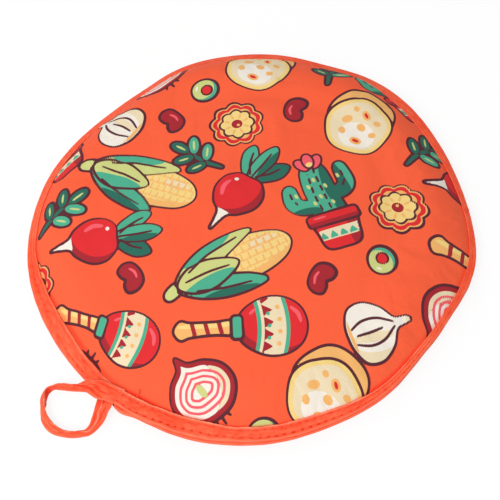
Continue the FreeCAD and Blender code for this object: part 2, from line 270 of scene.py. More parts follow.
def addClothPlan(piece, plan):
    # A UV map in metres of cloth, so that threads keep their real spacing.
    layer = piece.data.uv_layers.new(name="clothPlan")
    corner = np.zeros(len(piece.data.loops), np.int32)
    piece.data.loops.foreach_get("vertex_index", corner)
    layer.data.foreach_set("uv", (plan[corner] * mm).astype(np.float32).ravel())


def discGrid(rings, edge):
    # A square grid laid on a disc. The larger of |a| and |b| gives the ring, and the azimuth turns evenly
    # along it. The last rings lie under the binding.
    step = np.linspace(-1, 1, 2 * rings + 1)
    a, b = np.meshgrid(step, step)
    ring = np.maximum(np.abs(a), np.abs(b))
    wide = np.abs(a) >= np.abs(b)
    quarter = np.where(wide, b / np.where(a == 0, 1, a), a / np.where(b == 0, 1, b)) * math.pi / 4
    azimuth = np.where(
        wide, quarter + np.where(a < 0, math.pi, 0), math.pi / 2 - quarter + np.where(b < 0, math.pi, 0)
    )
    under = 1 - max(2, round(rings * 0.045)) / rings
    radius = np.interp(ring, [0, under, 1], [0, pouch["bindingInner"], edge])
    return radius.ravel(), azimuth.ravel()


def quads(index):
    # A four-sided face for each square of a table of point numbers.
    return np.stack([index[:-1, :-1], index[:-1, 1:], index[1:, 1:], index[1:, :-1]], axis=-1).reshape(-1, 4)


def gridFaces(rows, columns, start=0):
    return quads(np.arange(rows * columns).reshape(rows, columns) + start)


def squareEdge(rings, start):
    # The grid's border, anticlockwise from its first corner.
    side = 2 * rings + 1
    index = np.arange(side * side).reshape(side, side) + start
    return np.concatenate([index[0, :-1], index[:-1, -1], index[-1, :0:-1], index[:0:-1, 0]])


def discShell(name, shown, hidden, shownRings, hiddenRings, facing):
    # Two faces of one layer, each on its own disc grid, joined by a wall round the edge. shown has a
    # whole number of times more rings.
    points = np.concatenate([shown, hidden])
    first, second = squareEdge(shownRings, 0), squareEdge(hiddenRings, len(shown))
    share = shownRings // hiddenRings
    near = np.arange(len(second)) * share
    wall = []
    for step in range(share):
        ends = [first[(near + step + 1) % len(first)], first[near + step]]
        wall.append(np.stack([*ends, second if step < share / 2 else np.roll(second, -1)], axis=-1))
    middle = first[(near + (share + 1) // 2) % len(first)]
    wall.append(np.stack([middle, second, np.roll(second, -1)], axis=-1))
    side = 2 * shownRings + 1
    inner = 2 * hiddenRings + 1
    faces = [gridFaces(side, side), gridFaces(inner, inner, len(shown))[:, ::-1], *wall]
    if facing == "down":
        faces = [f[:, ::-1] for f in faces]
    return newPiece(name, points, faces)


def slab(name, front, back, closed=False):
    # A strip of cloth with a thickness: two grids of as many rows and columns, joined by walls along
    # their borders. The front faces the side from which its rows run up and its columns run right.
    rows, columns = front.shape[:2]
    points = np.concatenate([front.reshape(-1, 3), back.reshape(-1, 3)])
    index = np.arange(rows * columns).reshape(rows, columns)
    if closed:
        index = np.vstack([index, index[:1]])
    behind = index + rows * columns
    faces = [quads(index), quads(behind)[:, [0, 3, 2, 1]]]
    faces.append(np.stack([index[:-1, 0], index[1:, 0], behind[1:, 0], behind[:-1, 0]], axis=-1))
    faces.append(np.stack([index[1:, -1], index[:-1, -1], behind[:-1, -1], behind[1:, -1]], axis=-1))
    if not closed:
        faces.append(np.stack([index[0, 1:], index[0, :-1], behind[0, :-1], behind[0, 1:]], axis=-1))
        faces.append(np.stack([index[-1, :-1], index[-1, 1:], behind[-1, 1:], behind[-1, :-1]], axis=-1))
    return newPiece(name, points, faces)


def smoothCurve(points, count, closed=False):
    # A Catmull-Rom curve through the points, cut into count even steps of its own length.
    points = np.asarray(points, float)
    if closed:
        held = np.vstack([points[-1:], points, points[:2]])
    else:
        held = np.vstack([2 * points[:1] - points[1:2], points, 2 * points[-1:] - points[-2:-1]])
    t = np.linspace(0, 1, 13)[:-1, None]
    p0, p1, p2, p3 = (held[None, n : len(held) - 3 + n] for n in range(4))
    t = t[:, None]
    spans = 0.5 * (
        2 * p1 + (p2 - p0) * t + (2 * p0 - 5 * p1 + 4 * p2 - p3) * t**2 + (3 * p1 - p0 - 3 * p2 + p3) * t**3
    )
    fine = spans.transpose(1, 0, 2).reshape(-1, points.shape[1])
    fine = np.vstack([fine, points[:1] if closed else points[-1:]])
    run = np.concatenate([[0], np.cumsum(np.linalg.norm(np.diff(fine, axis=0), axis=1))])
    even = np.linspace(0, run[-1], count + 1 if closed else count)
    even = even[:-1] if closed else even
    return np.stack([np.interp(even, run, column) for column in fine.T], axis=1)


# ---- materials ----
def linear(colour):
    # An sRGB hex colour as linear light, with alpha.
    parts = [int(colour[n : n + 2], 16) / 255 for n in (1, 3, 5)]
    return (*[p / 12.92 if p <= 0.04045 else ((p + 0.055) / 1.055) ** 2.4 for p in parts], 1.0)


def addNode(tree, kind, inputs=None, **settings):
    # inputs gives each socket, by name or number, a value or the output that feeds it.
    node = tree.nodes.new("ShaderNode" + kind)
    for setting, value in settings.items():
        setattr(node, setting, value)
    for socket, value in (inputs or {}).items():
        if isinstance(value, bpy.types.NodeSocket):
            tree.links.new(value, node.inputs[socket])
        else:
            node.inputs[socket].default_value = value
    return node


def newMaterial(name):
    material = bpy.data.materials.new(name)
    material.use_nodes = True
    tree = material.node_tree
    tree.nodes.clear()
    return material, tree


def objectPlace(tree):
    return addNode(tree, "TexCoord").outputs["Object"]


def storedField(tree, name):
    return addNode(tree, "Attribute", attribute_name=name).outputs["Fac"]


def noise(tree, where, scale, detail, distortion=0.0):
    inputs = {"Vector": where, "Scale": scale, "Detail": detail, "Distortion": distortion}
    return addNode(tree, "TexNoise", inputs).outputs["Fac"]


def bands(tree, where, pitch, way="X", distortion=0.0):
    # Even waves across one axis, with a crest every pitch, in metres.
    inputs = {"Vector": where, "Scale": math.pi / 10 / pitch, "Distortion": distortion}
    return addNode(tree, "TexWave", inputs, bands_direction=way).outputs["Fac"]


def combine(tree, operation, first, second):
    return addNode(tree, "Math", {0: first, 1: second}, operation=operation).outputs[0]


def plainWeave(tree, where, pitch):
    # Two crossed waves of the thread spacing.
    return combine(tree, "MULTIPLY", bands(tree, where, pitch), bands(tree, where, pitch, "Y"))


def rescale(tree, value, low, high, start=0.0, end=1.0, **settings):
    # Values from start to end become low to high.
    inputs = {"Value": value, "From Min": start, "From Max": end, "To Min": low, "To Max": high}
    return addNode(tree, "MapRange", inputs, **settings).outputs["Result"]


def mix(tree, share, first, second, blend="MIX"):
    # Colours are hex texts or outputs.
    first, second = (linear(colour) if isinstance(colour, str) else colour for colour in (first, second))
    inputs = {"Factor": share, "A": first, "B": second}
    return addNode(tree, "Mix", inputs, data_type="RGBA", blend_type=blend).outputs["Result"]


def finishMaterial(tree, shader):
    addNode(tree, "OutputMaterial", {"Surface": shader.outputs[0]})


def finishSurface(tree, colour, height, bump, rough, specular, more=None):
    # bump is the strength of the relief and its depth in metres.
    normal = addNode(tree, "Bump", {"Height": height, "Strength": bump[0], "Distance": bump[1]}).outputs[0]
    inputs = {"Base Color": colour, "Roughness": rough, "Specular IOR Level": specular, "Normal": normal}
    finishMaterial(tree, addNode(tree, "BsdfPrincipled", {**inputs, **(more or {})}))


inkColours = {
    "cream": "#ecd9b4",
    "amber": "#f2b56c",
    "yellow": "#f3d283",
    "lime": "#cdd183",
    "teal": "#4fae8d",
    "forest": "#2c6c5c",
    "red": "#e02f33",
    "crimson": "#a82a33",
    "rose": "#f4606a",
    "chalk": "#f1e9dc",
    "plum": "#5a2b33",
}
inkOrder = list(inkColours)
inkEdge = 0.16  # half the width over which an ink's edge fades


def printedPolyester(name, ground, shadow, grainTurn):
    # Polyester, plain woven, transfer printed: flat even ink with clean edges, a soft sheen, and threads
    # that just show. Real threads are 0.35 mm apart, and 1.1 mm is the finest that shows.
    material, tree = newMaterial(name)
    where = objectPlace(tree)
    turned = {"Vector": where, "Rotation": (0, 0, math.radians(grainTurn))}
    cloth = addNode(tree, "Mapping", turned).outputs[0]
    threads = plainWeave(tree, cloth, 0.0011)
    colour = mix(tree, noise(tree, where, 14.0, 3.0), *ground)
    for ink in inkOrder:
        distance = storedField(tree, "ink_" + ink)
        cover = rescale(tree, distance, 0.0, 1.0, inkEdge, -inkEdge, interpolation_type="SMOOTHSTEP")
        colour = mix(tree, cover, colour, inkColours[ink])
    # Painted red shade where the cover goes down beside the tape's bead.
    colour = mix(tree, storedField(tree, "held"), colour, shadow, "MULTIPLY")
    fleck = rescale(tree, noise(tree, cloth, 900.0, 1.0), 0.95, 1.05)
    dim = combine(tree, "MULTIPLY", rescale(tree, threads, 0.93, 1.03), fleck)
    colour = mix(tree, 1.0, colour, dim, "MULTIPLY")
    sheen = {"Sheen Weight": 0.02, "Sheen Roughness": 0.45}
    finishSurface(tree, colour, threads, (0.35, 0.00012), 0.75, 0.12, sheen)
    return material


def wovenTape(name, colours):
    # Polyester tape, woven in ribs across its width and folded by heat: a smooth satin face, with a painted
    # highlight along each fold and painted shade in its creases and where a needle pulls it down.
    material, tree = newMaterial(name)
    plan = addNode(tree, "UVMap", uv_map="clothPlan").outputs[0]
    threads = plainWeave(tree, plan, 0.0009)
    drawn = addNode(tree, "Mapping", {"Vector": plan, "Scale": (160.0, 620.0, 1.0)}).outputs[0]
    shade = combine(tree, "ADD", noise(tree, objectPlace(tree), 40.0, 3.0), noise(tree, drawn, 1.0, 2.0))
    colour = mix(tree, rescale(tree, shade, 0.0, 1.0, 0.75, 1.25), colours["dull"], colours["bright"])
    # Painted highlight along the tape's folds.
    colour = mix(tree, storedField(tree, "paintedHighlight"), colour, colours["paintedHighlight"])
    # Painted shade: red in the creases and dark in the needle holes.
    pullAndPaintedShade = storedField(tree, "pullAndPaintedShade")
    for begin, shadow in ((0.0, "crease"), (0.5, "hole")):
        colour = mix(tree, rescale(tree, pullAndPaintedShade, 0.0, 1.0, begin, begin + 0.5), colour, colours[shadow])
    colour = mix(tree, 1.0, colour, rescale(tree, threads, 0.95, 1.03), "MULTIPLY")
    sheen = {"Sheen Weight": 0.02, "Sheen Roughness": 0.4}
    finishSurface(tree, colour, threads, (0.3, 0.0001), 0.6, 0.16, sheen)
    return material


def spunThread(name, colour, shadow):
    # Spun polyester thread: two plies twisted at 0.6 mm, matt with stray fibres.
    material, tree = newMaterial(name)
    slant = addNode(tree, "Mapping", {"Vector": objectPlace(tree), "Rotation": (0, 0.6, 0.7)}).outputs[0]
    ply = bands(tree, slant, 0.0006, distortion=0.5)
    finishSurface(tree, mix(tree, ply, shadow, colour), ply, (0.5, 0.0001), 0.8, 0.25)
    return material


def plainLining(name, colours):
    # Polyester lining, plain woven and undyed: pale, matt and slightly uneven. Its 0.4 mm threads are
    # drawn 1 mm apart, so that they show.
    material, tree = newMaterial(name)
    where = objectPlace(tree)
    threads = plainWeave(tree, where, 0.001)
    colour = mix(tree, noise(tree, where, 30.0, 4.0), *colours)
    colour = mix(tree, 1.0, colour, rescale(tree, threads, 0.9, 1.03), "MULTIPLY")
    finishSurface(tree, colour, threads, (0.4, 0.00012), 0.85, 0.2, {"Sheen Weight": 0.1})
    return material


def metallisedFilm(name, colour):
    # Aluminium deposited on polyester film: a bright mirror with the creases of handling.
    material, tree = newMaterial(name)
    where = objectPlace(tree)
    folds = {"Vector": where, "Scale": 90.0}
    crease = addNode(tree, "TexVoronoi", folds, feature="DISTANCE_TO_EDGE").outputs["Distance"]
    rough = rescale(tree, noise(tree, where, 60.0, 4.0), 0.18, 0.4)
    finishSurface(tree, linear(colour), crease, (0.5, 0.0004), rough, 0.5, {"Metallic": 1.0})
    return material


def needledWadding(name, colours):
    # Cotton and polyester fibres, needle punched into a felt: matt off-white with loose fibre ends.
    material, tree = newMaterial(name)
    fibre = noise(tree, objectPlace(tree), 500.0, 5.0, 1.5)
    finishSurface(tree, mix(tree, fibre, *colours), fibre, (0.8, 0.0006), 0.95, 0.1)
    return material


# The tape's own tone from dull to bright, a painted highlight along its folds, and painted shade: red in its
# creases and dark in its needle holes.
tapeColours = {
    "dull": "#f64b29", "bright": "#ff6f4a", "paintedHighlight": "#ff9a78", "crease": "#f0300c", "hole": "#7c1c10"
}
coverCloth = printedPolyester("printedPolyesterCover", ("#fb5d38", "#fb6641"), "#ff7a66", 12)
tapeCloth = wovenTape("foldedPolyesterTape", tapeColours)
sewingThread = spunThread("spunPolyesterThread", "#fa6542", "#dd4a2e")
liningCloth = plainLining("plainPolyesterLining", ("#e9e2d2", "#f3eee2"))
film = metallisedFilm("metallisedPolyesterFilm", "#dfe1e4")
felt = needledWadding("needledCottonWadding", ("#dcd8cc", "#f4f1ea"))
print("materials made")


# ---- the print ----
trap = 0.6  # how far an ink runs on under the next one, in units of the print
farInk = 9.0  # the distance where there is no ink
motifReach = 52  # no motif is longer than this from its middle


class Pen:
    # Paints shapes one over another in a motif's own plane. Each ink keeps its distance, below zero inside.
    def __init__(self, x, y, inks):
        self.x, self.y, self.inks = x, y, inks

    def paint(self, ink, shape):
        for other in inkOrder[inkOrder.index(ink) + 1 :]:
            above = self.inks[other]
            self.inks[ink] = np.minimum(self.inks[ink], np.maximum(shape - trap, above))
            self.inks[other] = np.maximum(above, -shape)
        self.inks[ink] = np.minimum(self.inks[ink], shape)

    def shade(self, ink, shape, part):
        # Paints the part of a shape.
        self.paint(ink, np.maximum(shape, part))

    def veins(self, paths, width=1.6, tip=0.7):
        for path in paths:
            self.paint("plum", self.line(path, width, tip))

    def outlined(self, shape, ink, width=1.55, heavy=0.35):
        # A drawn outline is heavier on the lower right of each motif.
        lean = (self.x - self.y) / np.maximum(np.hypot(self.x, self.y), 1.0) * 0.7071
        self.paint("plum", shape - width - heavy * lean)
        self.paint(ink, shape)

    def oval(self, cx, cy, rx, ry, turn=0.0):
        # Distance to an ellipse, to first order: k0 * (k0 - 1) / k1 with k0 = |p / r| and k1 = |p / r^2|.
        c, s = math.cos(math.radians(turn)), math.sin(math.radians(turn))
        dx, dy = self.x - cx, self.y - cy
        px, py = c * dx + s * dy, -s * dx + c * dy
        first = np.hypot(px / rx, py / ry)
        second = np.maximum(np.hypot(px / rx**2, py / ry**2), 1e-6)
        return first * (first - 1) / second

    def box(self, cx, cy, halfWide, halfHigh, corner=0.0, turn=0.0):
        c, s = math.cos(math.radians(turn)), math.sin(math.radians(turn))
        dx, dy = self.x - cx, self.y - cy
        px = np.abs(c * dx + s * dy) - halfWide + corner
        py = np.abs(-s * dx + c * dy) - halfHigh + corner
        return np.hypot(np.maximum(px, 0), np.maximum(py, 0)) + np.minimum(np.maximum(px, py), 0) - corner

    def blob(self, points):
        # Distance to a closed smooth curve through the points: to the nearest of its short edges,
        # negative where a level ray crosses them an odd number of times.
        corners = smoothCurve(points, 8 * len(points), closed=True)
        ax, ay = corners.T
        ex, ey = (np.roll(corners, -1, axis=0) - corners).T
        wx, wy = self.x[:, None] - ax, self.y[:, None] - ay
        t = np.clip((wx * ex + wy * ey) / (ex**2 + ey**2), 0, 1)
        distance = np.hypot(wx - t * ex, wy - t * ey).min(1)
        level = self.y[:, None]
        crosses = ((ay > level) != (ay + ey > level)) & (
            self.x[:, None] < ex * (level - ay) / np.where(ey == 0, 1, ey) + ax
        )
        return np.where(crosses.sum(1) % 2 == 1, -distance, distance)

    def line(self, points, width, tip=0.35):
        # Distance to a smooth open line whose width tapers to tip times itself at both ends.
        path = smoothCurve(points, 7 * len(points))
        start, step = path[:-1], np.diff(path, axis=0)
        wx, wy = self.x[:, None] - start[:, 0], self.y[:, None] - start[:, 1]
        t = np.clip((wx * step[:, 0] + wy * step[:, 1]) / (step**2).sum(1), 0, 1)
        share = (np.arange(len(step)) + t) / len(step)
        half = width / 2 * (tip + (1 - tip) * np.sqrt(np.clip(4 * share * (1 - share), 0, 1)))
        return (np.hypot(wx - t * step[:, 0], wy - t * step[:, 1]) - half).min(1)


def mirrored(points):
    # The points of a shape's right half and their mirror image. Those on the axis count once.
    return points + [(-x, y) for x, y in reversed(points) if x]


def drawCorn(pen):
    cob = pen.blob(mirrored([(0, 37), (8, 32), (12.5, 20), (13.5, 4), (10, -14)]))
    left = pen.blob([(-1, -36), (-10, -29), (-17, -14), (-19, 4), (-16.5, 18), (-11, 8), (-6, -4), (0, -14)])
    right = pen.blob([(1, -36), (10, -29), (17, -14), (19.5, 2), (18, 14), (11, 6), (6, -5), (0, -14)])
    middle = pen.blob(mirrored([(0, -36), (-8, -26), (-8, -12), (0, 3)]))
    stalk = pen.line([(0, -33), (0.5, -38), (2, -43)], 7, 0.8)
    pen.outlined(stalk, "lime")
    pen.outlined(cob, "yellow")
    across = np.abs((pen.x + 2.6 + 100) % 5.2 - 2.6)
    column = np.floor((pen.x + 2.6) / 5.2)
    up = np.abs((pen.y + 2.4 * (column % 2) + 100) % 4.8 - 2.4)
    seams = np.minimum(2.6 - across, 2.4 - up) - 0.5
    pen.shade("amber", cob + 0.7, seams)
    lit = pen.blob([(-2, 40), (5, 32), (8.5, 18), (9, 4), (6, -16), (-16, -16), (-18, 10), (-14, 36)])
    pen.shade("amber", cob, -lit)
    pen.shade("cream", np.maximum(cob + 2.4, -seams + 0.25), pen.oval(-5.5, 21, 3.4, 10, 8))
    for leaf, ink in ((left, "lime"), (right, "teal"), (middle, "lime")):
        pen.outlined(leaf, ink, 1.5, 0.3)
    pen.shade("teal", middle, pen.oval(9, -20, 8, 22, 8))
    pen.shade("teal", left, pen.oval(-16, -14, 5, 20, 12))
    pen.shade("forest", right, pen.oval(20, -6, 6, 22, -14))
    pen.veins(
        (
            [(-1, -31), (-1.5, -16), (0, -3)], [(-6, -27), (-12, -12), (-15, 8)],
            [(7, -27), (12, -12), (15.5, 5)],
        )
    )


def drawCactus(pen):
    pot = pen.blob(
        [
            (-13, -11), (-6, -11), (6, -11), (13, -11), (12, -20), (9.5, -30), (0, -31.5), (-9.5, -30),
            (-12, -20),
        ]
    )
    rim = pen.box(0, -10.5, 15.5, 3.6, 1.6)
    trunk = pen.blob(mirrored([(0, 31), (6.5, 28.5), (9, 20), (9.5, 4), (8.5, -12)]))
    left = pen.line([(-4, 1), (-13, 1), (-18.5, 6), (-18.5, 16)], 10, 0.72)
    right = pen.line([(4, 6), (13, 7), (18, 12), (17.5, 24)], 9.5, 0.72)
    body = np.minimum(np.minimum(left, right), trunk)
    pen.outlined(body, "teal")
    pen.shade("forest", body, np.minimum(pen.oval(11, 8, 8, 26, 3), pen.oval(-16, -4, 12, 5)))
    for path in (
        [(-4, -6), (-4.5, 8), (-3.5, 24)], [(1.5, -6), (1.5, 10), (1, 27)],
        [(-17, 5), (-18.5, 10), (-18.6, 15)], [(14, 9), (17.5, 14), (17.3, 22)],
    ):
        pen.paint("plum", np.maximum(pen.line(path, 1.6, 0.8), 1.1 - np.abs((pen.y + 100) % 7.0 - 3.5)))
    for x, y in ((-6, 15), (-1.3, 19), (-1.3, 6), (4.5, 13), (4.5, 0), (-6.5, 2), (-15.5, 11), (14.5, 18)):
        pen.paint("lime", pen.oval(x, y, 1.0, 1.9, 12))
    for x, y, turn in ((-4.6, 32, 35), (4.6, 32, -35), (0, 34, 0)):
        pen.outlined(pen.oval(x, y, 3.0, 5.0, turn), "rose", 1.5, 0.2)
    pen.paint("yellow", pen.oval(0, 31, 2.2, 1.8))
    pen.outlined(pot, "red")
    pen.shade("crimson", pot, pen.oval(12, -22, 6.5, 14, -6))
    zig = np.abs((pen.x + 100) % 6.0 - 3.0)
    pen.shade("cream", pot + 0.3, np.abs(pen.y + 21.5) - 3.6)
    pen.shade("teal", pot + 0.3, np.maximum(np.abs(pen.y + 21.5) - 2.7, (pen.y + 24.2) - zig * 1.6))
    pen.outlined(rim, "red")
    pen.shade("crimson", rim, pen.y + 11.4)
    pen.paint("rose", pen.line([(-12, -8.8), (-4, -8.8)], 1.5))


def drawMaraca(pen):
    head = pen.blob(mirrored([(0, 38), (9.5, 35), (15.5, 26.5), (16.5, 15.5), (12, 5), (5, -1)]))
    handle = pen.blob(
        [(-3.6, 0), (3.6, 0), (3, -16), (3.6, -30), (5, -36), (0, -39.5), (-5, -36), (-3.6, -30), (-3, -16)]
    )
    collar = pen.box(0, -2.2, 6, 2.5, 1.4)
    pen.outlined(handle, "amber")
    pen.shade("yellow", handle, pen.oval(-2.2, -18, 1.8, 20))
    for y in (-12, -20, -28):
        pen.shade("crimson", handle, np.abs(pen.y - y - 0.25 * pen.x) - 1.3)
    pen.outlined(head, "red")
    pen.shade("crimson", head, -pen.oval(-6, 21, 19, 24, -10))
    bend = pen.y - 19 + 0.010 * pen.x**2
    pen.shade("cream", head, np.abs(bend) - 7.6)
    pen.shade("teal", head, np.minimum(np.abs(bend - 8.3), np.abs(bend + 8.3)) - 1.15)
    zig = np.abs((pen.x + 100) % 7.0 - 3.5)
    pen.shade("crimson", head, np.maximum(-bend - 5.6, (bend + 5.4) - zig * 1.75) + 0.2)
    for x in (-10.5, -3.5, 3.5, 10.5):
        pen.paint("amber", pen.oval(x, 22.6 - 0.010 * x * x, 1.35, 1.35))
    for x in (-7, 0, 7):
        pen.paint("teal", pen.oval(x, 16.5 - 0.010 * x * x, 1.1, 1.1))
    pen.paint("rose", pen.line([(-10.5, 29), (-6.5, 33.2), (-1.5, 34.8)], 2.4))
    pen.paint("rose", pen.line([(-10, 8.6), (-7, 5.2)], 1.8))
    pen.outlined(collar, "teal", 1.8, 0.3)


def drawRadish(pen):
    left = pen.blob([(0, 9), (-9, 15), (-15, 26), (-12, 34), (-5, 27), (-1, 16)])
    right = pen.blob([(0, 9), (9, 14), (16, 23), (15, 32), (6, 27), (1, 16)])
    middle = pen.blob([(0, 9), (-5, 20), (-4, 33), (1, 40), (5.5, 32), (4.5, 20)])
    for leaf, ink in ((left, "teal"), (right, "forest"), (middle, "teal")):
        pen.outlined(leaf, ink, 1.5, 0.3)
    pen.shade("forest", middle, pen.oval(5, 27, 4, 14, -4))
    pen.veins(
        ([(0, 13), (0.4, 24), (0.6, 34)], [(-2, 14), (-7, 21), (-10, 29)], [(2, 14), (8, 20), (11.5, 27)])
    )
    root = pen.blob(
        [
            (0, 11.5), (8, 11), (14, 4), (14.5, -5), (9, -13.5), (3, -18), (1, -25), (0, -31), (-1.2, -25),
            (-3.5, -18), (-9.5, -13.5), (-14.5, -5), (-14, 4), (-8, 11),
        ]
    )
    pen.outlined(root, "red")
    pen.shade("crimson", root, -pen.oval(-5, 1, 16, 17.5, -20))
    pen.shade("chalk", root + 0.2, pen.y + 16.5)
    pen.paint("rose", pen.line([(-9.5, 3.5), (-10.5, -2.5), (-8, -8)], 3.0))
    pen.paint("chalk", pen.oval(-6.8, 6.4, 1.5, 1.2, 30))


def drawOnion(pen):
    skin = pen.blob(mirrored([(0, 24), (4, 17), (13, 12), (20, 3), (19.5, -8), (11, -16.5), (0, -18.5)]))
    pen.veins(([(-3, -17), (-5, -22)], [(0, -18), (0, -24)], [(3, -17), (5.5, -22)]), 2.0, 0.5)
    pen.outlined(skin, "crimson")
    pen.paint("chalk", skin + 2.6)
    pen.shade("cream", skin + 2.6, -pen.oval(-4, 3, 17, 19))
    for depth in (5.9, 9.5, 13.1):
        pen.paint("rose", np.abs(skin + depth) - 0.8)
    pen.paint("lime", pen.oval(0, -1.5, 2.2, 4.6))


def drawGarlic(pen):
    bulb = pen.blob(
        [
            (0.5, 21), (3, 12), (11, 6.5), (16.5, -2), (15.5, -11), (8, -15.5), (0, -16.5), (-8, -15.5),
            (-15.5, -11), (-16.5, -2), (-11, 6.5), (-3, 12), (-2, 19),
        ]
    )
    pen.outlined(bulb, "chalk")
    pen.shade("cream", bulb, -pen.oval(-4.5, -1, 16.5, 20, -8))
    pen.shade("cream", bulb, pen.oval(3.4, -3, 2.8, 12, -8))
    left, right = [(-1, 11), (-5.8, 3), (-7, -6), (-4, -14.5)], [(1.5, 11), (6.5, 3), (7.6, -6), (4.2, -14.5)]
    pen.veins((left, right, [(0.3, 4), (0.4, -5), (0.1, -12)]), 1.7)
    pen.shade("amber", bulb + 0.4, pen.y + 14.2)


def drawTortillas(pen):
    for dx, dy, ink in ((4.6, -6.4, "amber"), (0, 0, "yellow")):
        px, py = pen.x - dx, pen.y - dy
        disc = np.hypot(px, py) - 21 - 0.5 * np.sin(5 * np.arctan2(py, px) + dx)
        pen.outlined(disc, ink, 1.5, 0.3)
    pen.paint("cream", disc + 2.6)
    pen.shade("chalk", disc + 4.2, pen.oval(-5, 5, 12, 10, 35))
    for x, y, rx, ry, turn in (
        (-8, 8, 3.4, 2.2, 30), (4, 10, 2.2, 1.6, -20), (9, 2, 3.0, 2.0, 70), (-2, -1, 2.6, 1.9, 10),
        (-11, -3, 1.9, 1.4, 60), (3, -9, 3.3, 2.0, -15), (-6, -11, 2.0, 1.4, 20), (11, -7, 1.6, 1.2, 0),
    ):
        spot = pen.oval(x, y, rx, ry, turn)
        pen.paint("amber", spot - 0.6)
        if rx > 3.1:
            pen.paint("red", spot + 1.0)


def drawMarigold(pen):
    turn = np.arctan2(pen.y, pen.x)
    radius = np.hypot(pen.x, pen.y)
    outer = radius - 14.4 - 2.4 * np.abs(np.cos(4.5 * turn + 0.6))
    inner = radius - 8.6 - 2.0 * np.abs(np.cos(4 * turn))
    pen.outlined(outer, "amber")
    pen.shade("red", outer + 1.0, 11.4 + 1.6 * np.abs(np.cos(4.5 * turn + 0.6)) - radius)
    pen.paint("plum", inner - 1.5)
    pen.paint("yellow", inner)
    for step in range(8):
        way = math.radians(45 * step + 22)
        c, s = math.cos(way), math.sin(way)
        pen.paint("amber", pen.line([(4.5 * c, 4.5 * s), (8.2 * c, 8.2 * s)], 1.6))
    pen.paint("crimson", pen.oval(0, 0, 3.6, 3.4))
    pen.paint("amber", pen.oval(-0.8, 0.9, 1.1, 1.0))


def drawBean(pen):
    bean = pen.blob(
        [
            (-9, 1), (-6.5, 5.5), (0, 7), (6.5, 5.5), (9, 0.5), (7.5, -4.5), (3.5, -4.5), (0, -2),
            (-3.5, -3.6), (-7.5, -3.4),
        ]
    )
    pen.outlined(bean, "crimson", 1.9)
    pen.paint("rose", pen.line([(-5.2, 2.6), (-1, 4.2), (3.2, 3.6)], 1.7))


def drawOlive(pen):
    olive = pen.oval(0, 0, 8.2, 7.4)
    pen.outlined(olive, "lime", 1.9)
    pen.shade("teal", olive, -pen.oval(-1.5, 1.5, 8.2, 7.4))
    pen.outlined(pen.oval(1.2, -0.6, 3.0, 2.8), "red", 1.2, 0.2)
    pen.paint("chalk", pen.line([(-5.6, 1.2), (-4, 4.2)], 1.4))


def drawHerb(pen):
    stem = pen.line([(1, -19), (-0.5, -8), (0, 4), (0.5, 12)], 2.6)
    leaves = [
        (-6.2, 6.5, 6.4, 3.3, -38), (6.4, 7.5, 6.4, 3.3, 38), (-6.8, -4.5, 6.2, 3.2, -30),
        (6.4, -3.4, 6.2, 3.2, 30), (0.4, 14.5, 3.4, 6.6, 0),
    ]
    shapes = [pen.oval(*leaf) for leaf in leaves]
    pen.paint("plum", np.minimum.reduce([stem, *shapes]) - 1.8)
    pen.paint("forest", stem)
    for number, shape in enumerate(shapes):
        pen.paint("plum", shape - 0.9)
        pen.paint("teal" if number % 2 else "forest", shape)
    for x, y, _, _, turn in leaves[:4]:
        way = math.radians(turn)
        reach = -3.6 if x < 0 else 3.6
        dx, dy = reach * math.cos(way), reach * math.sin(way)
        pen.paint("lime", pen.line([(x - dx, y - dy), (x + dx, y + dy)], 1.5))
    pen.paint("lime", pen.line([(0.4, 10), (0.5, 18)], 1.5))


drawings = {
    "corn": drawCorn,
    "cactus": drawCactus,
    "maraca": drawMaraca,
    "radish": drawRadish,
    "onion": drawOnion,
    "garlic": drawGarlic,
    "tortillas": drawTortillas,
    "marigold": drawMarigold,
    "bean": drawBean,
    "olive": drawOlive,
    "herb": drawHerb,
}
# Motifs are drawn in units of 1.1 mm. The cloth repeats every 236 units both ways. Each motif's place in
# the repeat, and its turn in degrees.
unit = 1.1
repeat = 236.0
layout = [
    ("corn", 82, 143, 236),
    ("corn", 130, 73, 285),
    ("cactus", 22, 195, 23),
    ("cactus", 192, 103, 10),
    ("maraca", 128, 33, 263),
    ("maraca", 44, 49, 239),
    ("radish", 50, 108, 267),
    ("radish", 141, 122, 316),
    ("onion", 16, 21, 128),
    ("onion", 98, 1, 30),
    ("garlic", 67, 195, 47),
    ("garlic", 205, 19, 280),
    ("tortillas", 223, 158, 115),
    ("tortillas", 168, 222, 110),
    ("marigold", 147, 175, 178),
    ("marigold", 234, 94, 310),
    ("bean", 66, 78, 292),
    ("bean", 187, 179, 68),
    ("bean", 180, 53, 51),
    ("bean", 104, 190, 302),
    ("olive", 130, 208, 8),
    ("olive", 217, 60, 95),
    ("olive", 47, 234, 242),
    ("herb", 28, 135, 301),
    ("herb", 118, 155, 47),
    ("herb", 218, 213, 334),
]


def printInks(x, y):
    # x and y are millimetres of flat cloth. Returns each ink's distance at every point.
    inks = {ink: np.full(len(x), farInk) for ink in inkOrder}
    for motif, centreX, centreY, turn in layout:
        c, s = math.cos(math.radians(turn)), math.sin(math.radians(turn))
        for shiftX in range(-2, 3):
            for shiftY in range(-2, 3):
                dx, dy = x - centreX - shiftX * repeat, y - centreY - shiftY * repeat
                near = np.hypot(dx, dy) < motifReach
                if near.any():
                    dx, dy = dx[near], dy[near]
                    pen = Pen(c * dx + s * dy, -s * dx + c * dy, {ink: inks[ink][near] for ink in inkOrder})
                    drawings[motif](pen)
                    for ink in inkOrder:
                        inks[ink][near] = pen.inks[ink]
    return inks


def clothLength(height, faces):
    # How far the cloth runs along the curved face from the middle, at each radius.
    radius = np.linspace(0, 160, 801)
    run = np.hypot(np.diff(radius), np.diff(height(radius, faces)))
    return radius, np.concatenate([[0], np.cumsum(run)])


